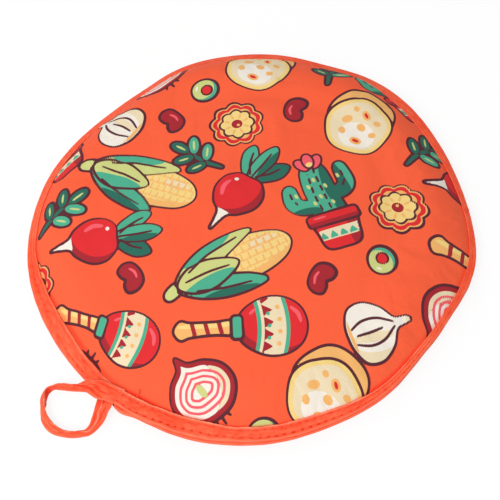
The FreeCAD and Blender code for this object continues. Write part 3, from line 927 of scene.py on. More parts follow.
def addPrint(piece, radius, azimuth, height, faces, placing):
    # The print is laid flat on the cloth, so it follows the curve: distance along the cloth replaces
    # distance from the middle.
    table = clothLength(height, faces)
    run = np.interp(radius, *table)
    turn = math.radians(placing["turn"])
    x = run * np.cos(azimuth + turn) * placing["face"] / unit + placing["shift"][0]
    y = run * np.sin(azimuth + turn) / unit + placing["shift"][1]
    inks = printInks(x, y)
    for ink in inkOrder:
        addField(piece, "ink_" + ink, inks[ink], farInk)


# ---- the panels ----
panels = {
    "coverRings": 147,
    "coverBackRings": 49,
    "bottomRings": 112,
    "bottomBackRings": 28,
    "layerRings": 56,
    "creaseShadeWide": 1.2,
    "print": {"turn": 20.0, "shift": (141.9, 108.5), "face": 1},
    "bottomPrint": {"turn": -65.0, "shift": (30.0, 60.0), "face": -1},
}


# Short folds that a tight seam draws in the cover: the azimuth and radius of each end, and the depth.
puckers = [
    ((-149.3, 143.4), (-151.5, 135.6), 0.22),
    ((-153.0, 143.4), (-154.8, 138.0), 0.18),
    ((-155.4, 143.4), (-157.0, 138.6), 0.18),
    ((-145.6, 143.4), (-146.9, 139.0), 0.16),
    ((-140.3, 143.4), (-139.2, 136.4), 0.26),
    ((-136.9, 143.4), (-137.8, 138.6), 0.22),
    ((-129.5, 143.4), (-129.0, 140.0), 0.18),
    ((-161.0, 143.4), (-162.4, 139.0), 0.22),
]

puckerHalf = 1.1


def pucker(x, y):
    # Grooves with a bell-shaped section, deepest at the seam, whose depth falls evenly to their far ends.
    total = np.zeros_like(x)
    for start, end, depth in puckers:
        sx, sy, ex, ey = (f(math.radians(turn)) * r for turn, r in (start, end) for f in (math.cos, math.sin))
        dx, dy = ex - sx, ey - sy
        t = np.clip(((x - sx) * dx + (y - sy) * dy) / (dx**2 + dy**2), 0, 1)
        away = np.hypot(x - sx - t * dx, y - sy - t * dy)
        total += depth * (1 - t) * bell(away, 0, puckerHalf)
    return total


# Shortest and longest wave and height of each kind of slack.
slack = {"dents": (45, 120, 0.5), "gathers": (7, 26, 0.12), "creases": (3.2, 7, 0.04)}


def relief(radius, azimuth, seed):
    # Broad soft dents fade out at the binding. Gathers and creases start at its stitches and fade inwards.
    x, y = radius * np.cos(azimuth), radius * np.sin(azimuth)
    inward = pouch["bindingInner"] - radius
    dents = undulate(seed, x, y, *slack["dents"]) * smoothStep(inward, 0, 40)
    gather = ripple(seed + 1, azimuth, *slack["gathers"])
    fine = ripple(seed + 2, azimuth, *slack["creases"])
    held = smoothStep(inward, -0.5, 2.5)
    soft = held * (gather * np.exp(-np.maximum(inward, 0) / 9) + fine * np.exp(-np.maximum(inward, 0) / 3.5))
    return dents + soft - pucker(x, y)


# The padded cover is draped with a cloth simulation on a coarse copy.
drape = {
    "rings": 68,
    "pinned": 140.5,
    "unevenness": (12, 40, 0.05),
    "pressure": 2.5,
    "slack": 0.007,
    "quality": 6,
    "frames": 20,
    "bandWide": 3,  # width of the rings of cloth whose mean rise is taken off
    "bands": 51,
    "most": 1.3,
}


def simulateDrape():
    # A copy of the cover, sewn down along the binding, a little larger than its frame and pressed from
    # inside by the wadding. Returns how far each point of its grid rises, less the mean rise at its
    # radius, eased to a limit, in millimetres.
    radius, azimuth = discGrid(drape["rings"], pouch["layerEdge"])
    side = 2 * drape["rings"] + 1
    x, y = radius * np.cos(azimuth), radius * np.sin(azimuth)
    z = domeHeight(radius, topFaces["outside"]) + undulate(8, x, y, *drape["unevenness"])
    start = settle(np.stack([x, y, z], axis=-1))
    cloth = newPiece("drapedCopy", start, [gridFaces(side, side)])
    sewn = np.flatnonzero(radius > drape["pinned"]).tolist()
    cloth.vertex_groups.new(name="sewn").add(sewn, 1.0, "REPLACE")
    modifier = cloth.modifiers.new("cloth", "CLOTH")
    modifier.settings.vertex_group_mass = "sewn"
    modifier.settings.use_pressure = True
    modifier.settings.uniform_pressure_force = drape["pressure"]
    modifier.settings.shrink_min = -drape["slack"]
    modifier.settings.effector_weights.gravity = 0
    modifier.settings.quality = drape["quality"]
    modifier.collision_settings.use_collision = False
    modifier.point_cache.frame_end = drape["frames"]
    for frameNumber in range(1, drape["frames"] + 1):
        scene.frame_set(frameNumber)
    settled = cloth.evaluated_get(bpy.context.evaluated_depsgraph_get()).to_mesh()
    ends = np.zeros(len(radius) * 3, np.float32)
    settled.vertices.foreach_get("co", ends)
    bpy.data.objects.remove(cloth)
    scene.frame_set(1)
    motion = ends.reshape(-1, 3)[:, 2] / mm - start[:, 2]
    wide, count = drape["bandWide"], drape["bands"]
    band = np.minimum((radius / wide).astype(int), count - 1)
    mean = np.bincount(band, motion, count) / np.maximum(np.bincount(band, minlength=count), 1)
    motion = motion - np.interp(radius, wide * (np.arange(count) + 0.5), mean)
    print("cover draped, largest move in mm:", round(float(np.abs(motion).max()), 2))
    return drape["most"] * np.tanh(motion / drape["most"])


def drapeAt(radius, azimuth):
    # Cubic interpolation of the draped copy's rise, on its own grid.
    rings = drape["rings"]
    side = 2 * rings + 1
    under = 1 - max(2, round(rings * 0.045)) / rings
    ring = np.interp(radius, [0, pouch["bindingInner"], pouch["layerEdge"]], [0, under, 1])
    quarter = np.round(azimuth / (math.pi / 2)).astype(int)
    off = ring * (azimuth - quarter * math.pi / 2) / (math.pi / 4)
    column = (np.choose(quarter % 4, [ring, -off, -ring, off]) + 1) * rings
    row = (np.choose(quarter % 4, [off, ring, -off, -ring]) + 1) * rings
    values = draped.reshape(side, side)
    corners = [np.clip(place.astype(int), 0, side - 2) for place in (column, row)]
    shares = []
    for place, corner in zip((column, row), corners):
        t = place - corner
        before, after = (-(t**3) + 2 * t**2 - t) / 2, (t**3 - t**2) / 2
        shares.append([before, (3 * t**3 - 5 * t**2 + 2) / 2, (-3 * t**3 + 4 * t**2 + t) / 2, after])
    total = np.zeros_like(radius)
    for i in range(4):
        for j in range(4):
            spot = values[np.clip(corners[1] + i - 1, 0, side - 1), np.clip(corners[0] + j - 1, 0, side - 1)]
            total += shares[1][i] * shares[0][j] * spot
    return total


draped = simulateDrape()


def facePoints(rings, height, faces, sign, seed):
    radius, azimuth = discGrid(rings, pouch["layerEdge"])
    z = height(radius, faces) + sign * relief(radius, azimuth, seed) + drapeAt(radius, azimuth)
    return radius, azimuth, polar(radius, azimuth, z)


def makeTop(name, outer, inner, shownRings, hiddenRings, material):
    radius, azimuth, upper = facePoints(shownRings, domeHeight, topFaces[outer], 1, 5)
    _, _, lower = facePoints(hiddenRings, domeHeight, topFaces[inner], 1, 5)
    piece = discShell(name, settle(upper), settle(lower), shownRings, hiddenRings, "up")
    piece.data.materials.append(material)
    return piece, radius, azimuth


def bendWithFlap(piece):
    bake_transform(piece)


topCover, radius, azimuth = makeTop(
    "topCover", "outside", "cover", panels["coverRings"], panels["coverBackRings"], coverCloth
)
addPrint(topCover, radius, azimuth, domeHeight, topFaces["outside"], panels["print"])
# Painted red shade on the cover where it goes down beside the tape's bead, for the red that each throws on
# the other.
held = bell(radius, pouch["bindingInner"], panels["creaseShadeWide"]) * (0.3 + 0.7 * around(azimuth, rolled))
addField(topCover, "held", held)
layers = panels["layerRings"]
topWadding, _, _ = makeTop("topWadding", "cover", "wadding", layers, layers, felt)
topFoil, _, _ = makeTop("topFoil", "wadding", "foil", layers, layers, film)
topLining, _, _ = makeTop("topLining", "foil", "lining", layers, layers, liningCloth)
for piece, layer in ((topCover, "cover"), (topWadding, "wadding"), (topFoil, "foil"), (topLining, "lining")):
    bendWithFlap(piece)
    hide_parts(f"top_{layer}_back", f"top_{layer}_flap")
print("top panel made")


def dishPoints(rings, faces):
    # The bottom lies flat where it rests, and its slack starts beside that.
    radius, azimuth = discGrid(rings, pouch["layerEdge"])
    free = smoothStep(radius, pouch["rest"] - 6, pouch["rest"] + 8) * 0.6
    z = dishHeight(radius, faces) - relief(radius, azimuth, 31) * free
    return radius, azimuth, polar(radius, azimuth, z)


def makeBottom(name, outer, inner, shownRings, hiddenRings, material):
    radius, azimuth, lower = dishPoints(shownRings, bottomFaces[outer])
    _, _, upper = dishPoints(hiddenRings, bottomFaces[inner])
    piece = discShell(name, settle(lower), settle(upper), shownRings, hiddenRings, "down")
    piece.data.materials.append(material)
    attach(piece, "pouch")
    return piece, radius, azimuth


bottomRings, bottomBackRings = panels["bottomRings"], panels["bottomBackRings"]
bottomCover, radius, azimuth = makeBottom(
    "bottomCover", "outside", "cover", bottomRings, bottomBackRings, coverCloth
)
addPrint(bottomCover, radius, azimuth, dishHeight, bottomFaces["outside"], panels["bottomPrint"])
bottomWadding, _, _ = makeBottom("bottomWadding", "cover", "wadding", layers, layers, felt)
bottomFoil, _, _ = makeBottom("bottomFoil", "wadding", "foil", layers, layers, film)
bottomLining, _, _ = makeBottom("bottomLining", "foil", "lining", layers, layers, liningCloth)
for piece, layer in (
    (bottomCover, "cover"), (bottomWadding, "wadding"), (bottomFoil, "foil"), (bottomLining, "lining")
):
    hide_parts(f"bottom_{layer}")
print("bottom panel made")


# ---- the binding ----
binding = {
    "thickness": 0.45,
    "acrossPoints": 56,
    "step": 0.75,  # millimetres between rows along the rim
    "pitch": 5.3,
    "stitch": 3.7,
    "hole": 1.05,
    "holeUneven": 0.5,
    "furrow": 0.42,  # half width of the groove that a row of stitches pulls
    "pull": 0.32,  # and its depth
    "innerPull": 0.6,  # the inner row's share of that
    "bead": 144.1,  # the radius where the inner fold stands highest
    "pillow": 147.6,  # the radius between the rows where the tape stands proud
    "beadHalf": 0.9,
    "pillowHalf": 1.7,
    "roughness": 1.4,  # how much more the bead wanders where it is uneven
    # Where a highlight and red shade are painted on the tape: half widths, with the radius before them and
    # the share after them where they are its own.
    "beadHighlight": 0.6,
    "foldHighlight": (151.9, 0.5, 0.35),
    "coverCreaseShade": (143.35, 0.3),
    "rowCreaseShade": 0.35,
    "creaseShadeShare": 0.6,
    "darkShare": 0.45,
    "wrinkle": (2.6, 7, 0.09),
    "beadWrinkle": (3, 9, 0.09),
    "wander": (12, 50, 0.10),
    "sway": (12, 50, 0.04),
    "highlightVary": (12, 60, 1.0),
    "threadWide": 0.55,
    "threadHigh": 0.34,
    "threadTaper": [0.45, 0.85, 1.0, 1.0, 1.0, 0.85, 0.45],
    "jitter": 0.06,
    "endGap": {"closed": 1.8, "mouth": 0.6},  # degrees from the mouth's ends to a row's ends
    "threadLift": 0.38,
    "lipOut": 0.7,
    "lipIn": 0.4,
    "legRise": 0.42,  # how far a leg between the lips stands off the lining
}
# Half of the tape's section above the seam, from under its inner edge to its fold: radius and height over
# the cover's edge. Rolled up into a bead, and flush.
rolledHalf = [
    (144.9, 0.08), (144.1, 0.10), (143.45, 0.5), (143.55, 1.15), (144.1, 1.42), (144.75, 1.15),
    (145.6, 0.55), (146.4, 0.82), (147.6, 1.02), (148.7, 0.90), (149.6, 0.52), (150.4, 0.84), (151.3, 0.80),
    (152.1, 0.42),
]
flushHalf = [
    (144.9, 0.05), (144.1, 0.06), (143.5, 0.18), (143.6, 0.42), (144.1, 0.58), (144.75, 0.62),
    (145.6, 0.50), (146.4, 0.66), (147.6, 0.72), (148.7, 0.68), (149.6, 0.48), (150.4, 0.66), (151.3, 0.62),
    (152.1, 0.35),
]
topHeight, bottomHeight = topFaces["outside"][1], bottomFaces["outside"][1]
beadRough = [(-170, 0), (-158, 0.6), (-145, 1), (-128, 0.4), (-110, 0)]  # where the bead is uneven
# How deep the needle pulls, and how dark the painted shade in its holes is.
holeShow = [(-168, 0.7), (-152, 1.0), (-95, 1.0), (-60, 0.7), (-40, 0.4), (90, 0.25), (165, 0.5)]


def foldedSection(high, low, upperShape, lowerShape):
    # The upper half, the fold at the rim, and the lower half, whose heights are measured down from low.
    upper = [(r, high + h) for r, h in upperShape]
    lower = [(r, low - h) for r, h in lowerShape]
    middle = (high + low) / 2
    belly = [
        (pouch["rim"] + 0.02, high - 0.45), (pouch["rim"] + 0.1, middle), (pouch["rim"] + 0.02, low + 0.45)
    ]
    if high - low < 2:
        belly = [(pouch["rim"] + 0.02, middle)]
    return upper + belly + lower[::-1]


def flatHalf(rise):
    # A leg of tape that lies flat against the other lip.
    return [
        (144.9, rise * 0.2), (144.0, rise * 0.25), (143.55, rise * 0.6), (144.0, rise), (146.0, rise),
        (149.0, rise), (151.2, rise), (152.2, rise * 0.3),
    ]


def needleHole(azimuth, row):
    # A bell of the distance along the rim to the nearest needle hole. Hand guiding leaves the holes uneven.
    turns = azimuth / (2 * math.pi) * round(pouch[row] * 2 * math.pi / binding["pitch"])
    number = np.round(turns)
    away = (turns - number) * binding["pitch"] + binding["holeUneven"] * np.sin(number * 7.3)
    return bell(away, 0, binding["hole"]) * (0.8 + 0.2 * np.sin(number * 12.9))


def outwardNormal(profile):
    flow = np.gradient(profile, axis=0)
    flow /= np.linalg.norm(flow, axis=1)[:, None]
    normal = np.stack([-flow[:, 1], flow[:, 0]], axis=1)
    return normal if normal[len(normal) // 2, 0] > 0 else -normal


def makeTape(name, start, end, sections, seed, push, rise):
    # The section carried round the rim from azimuth start to end, in degrees. It changes over between its
    # flush and its rolled shape. push and rise give how far it stands out of the rim and up, in
    # millimetres.
    rows = int(math.radians(end - start) * pouch["rim"] / binding["step"]) + 1
    azimuth = np.radians(np.linspace(start, end, rows))
    a = azimuth[:, None]
    bead = around(a, rolled)
    show = around(a, holeShow)
    flush, roll = (smoothCurve(section, binding["acrossPoints"]) for section in sections)
    flushOut, rollOut = outwardNormal(flush), outwardNormal(roll)
    r = flush[:, 0] * (1 - bead) + roll[:, 0] * bead
    z = flush[:, 1] * (1 - bead) + roll[:, 1] * bead
    outR = flushOut[:, 0] * (1 - bead) + rollOut[:, 0] * bead
    outZ = flushOut[:, 1] * (1 - bead) + rollOut[:, 1] * bead
    lies = outZ**2  # one on the tape's faces, zero round the fold
    outerRow, innerRow = (bell(r, pouch[row], binding["furrow"]) * lies for row in ("outerRow", "innerRow"))
    # The needle holes pull the tape down, and painted shade darkens them.
    pullAndPaintedShade = show * (
        outerRow * needleHole(a, "outerRow") + binding["innerPull"] * innerRow * needleHole(a, "innerRow")
    )
    fold = bell(r, binding["bead"], binding["beadHalf"])
    pillow = bell(r, binding["pillow"], binding["pillowHalf"]) * lies
    rough = 1 + binding["roughness"] * around(a, beadRough)

    def noiseRound(number, kind):
        return ripple(seed + number, azimuth, *binding[kind])[:, None]

    wrinkle = noiseRound(0, "wrinkle") * pillow + noiseRound(1, "beadWrinkle") * fold * bead * rough
    height = wrinkle - binding["pull"] * pullAndPaintedShade
    wander = noiseRound(2, "wander") * fold * (0.3 + 0.7 * bead) * rough
    out = push(azimuth)[:, None] + tapePush(a) + wander + noiseRound(3, "sway")
    rr, zz = r + outR * height + out, z + outZ * height + rise(azimuth)[:, None]
    front = settle(polar(rr, a, zz))
    rb, zb = rr - outR * binding["thickness"], zz - outZ * binding["thickness"]
    back = settle(polar(rb, a, zb))
    piece = slab(name, front[:, ::-1], back[:, ::-1])
    across = np.concatenate([[0], np.cumsum(np.linalg.norm(np.diff(roll, axis=0), axis=1))])
    plan = np.stack(np.broadcast_arrays(a * pouch["rim"], across[None, :]), axis=-1)[:, ::-1].reshape(-1, 2)
    addClothPlan(piece, np.concatenate([plan, plan]))
    # Painted highlight on the bead, and along the fold at the rim.
    paintedHighlight = bell(r, binding["bead"], binding["beadHighlight"]) * lies * (0.12 + 0.88 * bead)
    paintedHighlight = paintedHighlight * (0.75 + 0.25 * noiseRound(4, "highlightVary"))
    place, wide, share = binding["foldHighlight"]
    paintedHighlight = paintedHighlight + share * bell(r, place, wide) * bead
    # Painted shade: red where the bead meets the cover and along its groove, and dark in the needle holes.
    grooveShade = binding["creaseShadeShare"] * bell(r, pouch["innerRow"], binding["rowCreaseShade"]) * lies
    crease = binding["creaseShadeShare"] * bell(r, *binding["coverCreaseShade"]) + grooveShade
    dark = np.maximum(pullAndPaintedShade, binding["darkShare"] * np.clip(crease * (0.5 + 0.5 * bead), 0, 1))
    for field, values in {"paintedHighlight": np.clip(paintedHighlight, 0, 1), "pullAndPaintedShade": np.clip(dark, 0, 1)}.items():
        addField(piece, field, np.tile(np.broadcast_to(values, rr.shape)[:, ::-1].ravel(), 2))
    piece.data.materials.append(tapeCloth)
    return piece


def stay(azimuth):
    return np.zeros_like(azimuth)


def mouthShare(azimuth):
    # One along the mouth and zero at its ends.
    turn = np.degrees(azimuth)
    return smoothStep(turn, -152, -136) * (1 - smoothStep(turn, -96, -76))


def swell(azimuth):
    # The tape bulges out beside the hanging loop, where the mouth's lower lip starts.
    turn = (np.degrees(azimuth) + 150.7 + 180) % 360 - 180
    return 2.5 * bell(turn, 0, np.where(turn < 0, 3.2, 2.6))


def bottomLipOut(azimuth):
    return (binding["lipOut"] + 0.2) * mouthShare(azimuth) + swell(azimuth)


def topLipOut(azimuth):
    return -binding["lipIn"] * mouthShare(azimuth)


def topLipRise(azimuth):
    # The lip's left end climbs on to the hanging loop's tape.
    return 0.5 * smoothStep(-np.degrees(azimuth), 150.3, 153)


half = pouch["mouthHalf"]
lining = (topFaces["lining"][1], bottomFaces["lining"][1])
closedSections = [foldedSection(topHeight, bottomHeight, shape, shape) for shape in (flushHalf, rolledHalf)]
topLipSections = [
    foldedSection(
        topHeight, lining[0], shape, flatHalf(binding["legRise"])
    ) for shape in (flushHalf, rolledHalf)
]
bottomLipSections = [
    foldedSection(
        lining[1], bottomHeight, flatHalf(binding["legRise"]), shape
    ) for shape in (flushHalf, rolledHalf)
]
closedTape = makeTape("closedEdgeBinding", -90 + half, 270 - half, closedSections, 41, swell, stay)
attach(closedTape, "pouch")
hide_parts("closed_edge_binding")
topLip = makeTape("mouthBindingTop", -90 - half, -90 + half, topLipSections, 51, topLipOut, topLipRise)
bendWithFlap(topLip)
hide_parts("mouth_binding_top")
bottomLip = makeTape("mouthBindingBottom", -90 - half, -90 + half, bottomLipSections, 61, bottomLipOut, stay)
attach(bottomLip, "pouch")
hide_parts("mouth_binding_bottom")
print("binding made")


# ---- the stitches ----
def tube(path, wide):
    # A round thread of even width along a short path, with closed ends: its points, its four-sided faces
    # and its caps.
    spine = smoothCurve(path, 14)
    along = np.gradient(spine, axis=0)
    along /= np.linalg.norm(along, axis=1)[:, None]
    side = np.cross(along, (0.0, 0.0, 1.0))
    side /= np.linalg.norm(side, axis=1)[:, None]
    up = np.cross(side, along)
    turn = np.arange(6) * math.pi / 3
    ring = side[:, None] * np.cos(turn)[None, :, None] + up[:, None] * np.sin(turn)[None, :, None]
    index = np.arange(len(spine) * 6).reshape(-1, 6)
    wrap = np.roll(index, -1, axis=1)
    sides = np.stack([index[:-1], wrap[:-1], wrap[1:], index[1:]], axis=-1).reshape(-1, 4)
    points = (spine[:, None] + ring * wide / 2).reshape(-1, 3)
    return points, sides[:, ::-1], np.stack([index[0], index[-1][::-1]])


def stitchMesh(name, centres, along, up, length, tail=None):
    # Each stitch is a thread that dives in at both ends: an oval section on a bow whose height falls as
    # the fourth power of the distance from its middle.
    rings, sides = len(binding["threadTaper"]), 6
    t = np.linspace(-1, 1, rings)
    bow = binding["threadHigh"] * (0.55 - 1.35 * t**4)
    thick = 0.5 * np.array(binding["threadTaper"])[None, :, None, None]
    turn = np.arange(sides) * 2 * math.pi / sides
    across = np.cos(turn)[None, None, :, None] * binding["threadWide"] * thick
    upwards = np.sin(turn)[None, None, :, None] * binding["threadHigh"] * thick
    side = np.cross(along, up)
    run = (t * length / 2)[None, :, None]
    spine = centres[:, None] + along[:, None] * run + up[:, None] * bow[None, :, None]
    ring = side[:, None, None] * across + up[:, None, None] * upwards
    points = (spine[:, :, None] + ring).reshape(-1, 3)
    index = np.arange(rings * sides).reshape(rings, sides)
    wrap = np.roll(index, -1, axis=1)
    walls = np.stack([index[:-1], wrap[:-1], wrap[1:], index[1:]], axis=-1).reshape(-1, 4)
    start = (np.arange(len(centres)) * rings * sides)[:, None, None]
    caps = np.stack([index[0][::-1], index[-1]])
    faces = [(walls[None] + start).reshape(-1, 4), (caps[None] + start).reshape(-1, sides)]
    if tail:
        more, tailQuads, tailCaps = tube(tail, binding["threadWide"])
        faces += [tailQuads + len(points), tailCaps + len(points)]
        points = np.concatenate([points, more])
    piece = newPiece(name, points, faces)
    piece.data.materials.append(sewingThread)
    return piece


def rowStitches(row, start, end, height, face, push=stay, rise=stay):
    # Where each stitch of a row lies between two azimuths, on the tape's upper or lower face.
    count = round(pouch[row] * 2 * math.pi / binding["pitch"])
    number = np.arange(math.ceil((start / 360) * count - 0.5), math.floor((end / 360) * count - 0.5) + 1)
    azimuth = (number + 0.5) * 2 * math.pi / count
    r = pouch[row] + push(azimuth) + tapePush(azimuth)
    centre = settle(polar(r, azimuth, height + rise(azimuth)))
    jitter = np.random.default_rng(len(azimuth)).uniform(-binding["jitter"], binding["jitter"], len(azimuth))
    turn = azimuth + math.pi / 2 + jitter
    along = np.stack([np.cos(turn), np.sin(turn), np.zeros_like(turn)], axis=-1)
    up = np.zeros_like(along)
    up[:, 2] = face
    return centre, along, up


def joinRows(name, rows, tail=None):
    centre, along, up = (np.concatenate(parts) for parts in zip(*rows))
    return stitchMesh(name, centre, along, up, binding["stitch"], tail)


onTop, onBottom = topHeight + binding["threadLift"], bottomHeight - binding["threadLift"]
# A thread's end left long.
looseEnd = [
    (-121.3, -74.3, 10.4), (-120.4, -73.4, 11.3), (-119.0, -72.9, 11.8), (-117.9, -71.9, 12.2),
    (-117.6, -70.9, 11.9),
]
closedGap, mouthGap = binding["endGap"]["closed"], binding["endGap"]["mouth"]
closedEnds = (-90 + half + closedGap, 270 - half - closedGap)
mouthEnds = (-90 - half + mouthGap, -90 + half - mouthGap)
for which in ("outer", "inner"):
    row = which + "Row"
    closedRows = [rowStitches(row, *closedEnds, onTop, 1), rowStitches(row, *closedEnds, onBottom, -1)]
    closed = joinRows(f"closedEdge{which.title()}Stitches", closedRows)
    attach(closed, "pouch")
    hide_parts(f"closed_edge_{which}_seam")
    upperRow = rowStitches(row, *mouthEnds, onTop, 1, topLipOut, topLipRise)
    upper = joinRows(f"mouthTop{which.title()}Stitches", [upperRow], looseEnd if which == "inner" else None)
    bendWithFlap(upper)
    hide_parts(f"mouth_top_{which}_seam")
    lowerRow = rowStitches(row, *mouthEnds, onBottom, -1, bottomLipOut)
    lower = joinRows(f"mouthBottom{which.title()}Stitches", [lowerRow])
    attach(lower, "pouch")
    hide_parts(f"mouth_bottom_{which}_seam")
print("stitches made")


# ---- bar tacks at the mouth's ends ----
tack = {"centre": (131.9, -67.2), "length": 7.0, "width": 2.8, "bars": 11, "slant": 0.28, "lift": 0.75}


def makeTack(name, sign, node):
    # Close bars of thread across the tape's joint, on both faces.
    x = np.linspace(-0.5, 0.5, tack["bars"]) * tack["length"] + sign * tack["centre"][0]
    sets = []
    for face, height in ((1, topHeight + tack["lift"]), (-1, bottomHeight - tack["lift"])):
        slant = np.where(np.arange(tack["bars"]) % 2, tack["slant"], -tack["slant"])
        along = np.stack([np.sin(slant), np.cos(slant), np.zeros_like(slant)], axis=-1)
        centre = settle(np.stack([x, np.full_like(x, tack["centre"][1]), np.full_like(x, height)], axis=-1))
        up = np.zeros_like(along)
        up[:, 2] = face
        sets.append((centre, along, up))
    centre, along, up = (np.concatenate(parts) for parts in zip(*sets))
    piece = stitchMesh(name, centre, along, up, tack["width"])
    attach(piece, "pouch")
    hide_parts(node)
    return piece


makeTack("leftMouthTack", -1, "left_mouth_tack")
makeTack("rightMouthTack", 1, "right_mouth_tack")

# ---- the hanging loop ----
# Creases pressed into the loop: station and share of the width at each end, depth and half width.
loopCreases = [
    ((8.8, 0.0), (6.0, 0.12), 0.38, 0.17),
    ((6.6, 0.18), (4.5, 0.60), 0.34, 0.15),
    ((5.8, -0.30), (3.9, 0.02), 0.32, 0.09),
    ((5.2, 0.10), (2.6, 0.30), 0.30, 0.08),
    ((4.8, 0.62), (3.2, 0.80), 0.28, 0.08),
    ((5.0, -0.60), (2.0, -0.50), 0.28, 0.08),
    ((10.6, -0.45), (8.0, -0.20), 0.25, 0.10),
    ((14.2, 0.35), (12.4, 0.60), 0.30, 0.12),
    ((19.0, 0.55), (23.0, 0.40), 0.26, 0.09),
    ((21.4, -0.60), (24.4, -0.35), 0.26, 0.09),
    ((26.0, 0.25), (29.0, 0.50), 0.26, 0.09),
    ((25.6, -0.35), (28.4, -0.50), 0.24, 0.09),
    ((29.0, 0.10), (31.5, 0.25), 0.30, 0.10),
]
stationShare = 0.73  # stations are 4.4 mm apart and the half width is 6 mm
loop = {
    "azimuth": -157.5,
    "thickness": 0.5,
    "points": 260,
    "acrossPoints": 35,
    "foldRound": 0.13,
    # Across the tape: place and half width as shares of the half width, and height in millimetres.
    "lipRidges": [(-0.80, 0.13, 0.42), (-0.55, 0.10, -0.38), (0.50, 0.10, -0.34)],
    "gathers": [(0.0, 0.16, -0.35), (-0.72, 0.18, 0.40)],
    # Height, length and lean of each wave.
    "crush": [(0.10, 11.0, 1.5), (0.06, 6.4, -2.2), (0.035, 3.6, 1.0)],
    "wave": (0.10, 11.0),  # how far the worn fold wanders, and its length
    "root": (152.0, 0, 6.15),  # where the loop leaves the rim, and where it swings freely
    "clear": (161.0, 0, 6.15),
    "seam": {"column": 9, "pitch": 3.4, "stitch": 2.3, "sunk": 0.12, "from": 9.0, "short": 3.5},
    # The tape is folded along its length into a short and a long leg. Each station gives the short leg's
    # edge, the fold and the long leg's edge: out from the middle, along the rim towards the mouth, and
    # up, in millimetres.
    "stations": [
        ((140.6, 12.6, 10.0), (146.6, 13.6, 10.3), (152.2, 14.4, 8.9)),
        ((141.6, 9.4, 10.3), (147.0, 11.4, 10.6), (152.4, 13.6, 8.9)),
        ((142.5, 5.9, 10.5), (147.7, 8.9, 10.8), (152.7, 12.3, 9.2)),
        ((143.5, 1.9, 10.7), (149.3, 3.5, 11.0), (154.5, 5.8, 9.1)),
        ((144.8, -2.7, 10.9), (150.3, -1.5, 10.7), (156.6, 1.2, 8.6)),
        ((147.7, -7.2, 10.8), (151.2, -5.7, 10.3), (157.0, -3.3, 7.4)),
        ((150.1, -10.9, 9.8), (153.4, -8.7, 9.6), (157.0, -8.5, 5.3)),
        ((152.3, -13.8, 8.4), (155.2, -11.8, 8.8), (158.6, -12.7, 3.2)),
        ((155.4, -16.3, 6.6), (156.7, -15.6, 7.9), (159.9, -15.5, 1.8)),
        ((159.2, -20.5, 3.8), (158.7, -19.8, 7.4), (162.0, -19.2, 1.0)),
        ((161.3, -24.1, 3.4), (160.7, -23.4, 7.2), (163.9, -22.5, 0.8)),
        ((164.5, -28.5, 3.3), (163.8, -27.4, 7.1), (165.9, -26.1, 0.6)),
        ((167.8, -31.2, 3.3), (167.1, -29.6, 7.1), (167.7, -28.8, 0.5)),
        ((170.6, -32.8, 3.3), (170.5, -31.3, 7.1), (170.2, -29.7, 0.5)),
        ((174.1, -33.0, 3.0), (173.4, -30.5, 7.1), (173.1, -29.5, 0.6)),
        ((178.5, -30.9, 3.0), (177.3, -26.7, 6.8), (176.7, -27.5, 0.6)),
        ((181.7, -27.6, 2.9), (180.4, -23.4, 6.2), (179.4, -25.4, 0.5)),
        ((184.6, -24.8, 2.8), (182.2, -20.2, 5.6), (184.1, -24.4, 0.5)),
        ((187.0, -21.4, 3.1), (183.0, -17.7, 5.4), (187.4, -22.1, 0.5)),
        ((187.7, -15.5, 3.4), (184.1, -13.0, 5.3), (189.8, -17.0, 0.5)),
        ((188.4, -10.9, 3.4), (184.4, -8.9, 5.3), (190.5, -12.0, 0.5)),
        ((187.8, -6.6, 3.4), (183.7, -4.2, 5.3), (189.7, -7.3, 0.5)),
        ((186.0, -2.0, 3.4), (182.0, 0.3, 5.6), (187.5, -2.2, 0.5)),
        ((183.5, 2.5, 3.8), (179.9, 3.6, 6.2), (184.2, 3.3, 0.8)),
        ((179.7, 6.0, 4.6), (177.1, 6.8, 6.5), (180.3, 7.6, 0.9)),
        ((175.2, 8.2, 5.8), (174.9, 10.5, 6.3), (175.7, 11.5, 1.6)),
        ((171.4, 7.9, 5.6), (171.0, 11.0, 6.1), (168.6, 13.4, 3.4)),
        ((168.4, 6.6, 5.6), (166.2, 9.4, 6.2), (163.6, 13.7, 4.8)),
        ((164.2, 4.6, 5.7), (162.2, 7.5, 6.3), (158.2, 12.0, 5.4)),
        ((160.9, 2.9, 5.8), (158.5, 6.1, 6.3), (154.9, 11.5, 5.8)),
        ((157.6, 1.3, 6.0), (155.6, 4.1, 6.3), (152.4, 10.4, 6.1)),
        ((154.2, -0.4, 6.1), (152.5, 1.9, 6.2), (149.9, 8.8, 6.2)),
        ((149.4, -2.2, 6.15), (148.2, 0.2, 6.2), (146.0, 7.4, 6.2)),
    ],
}


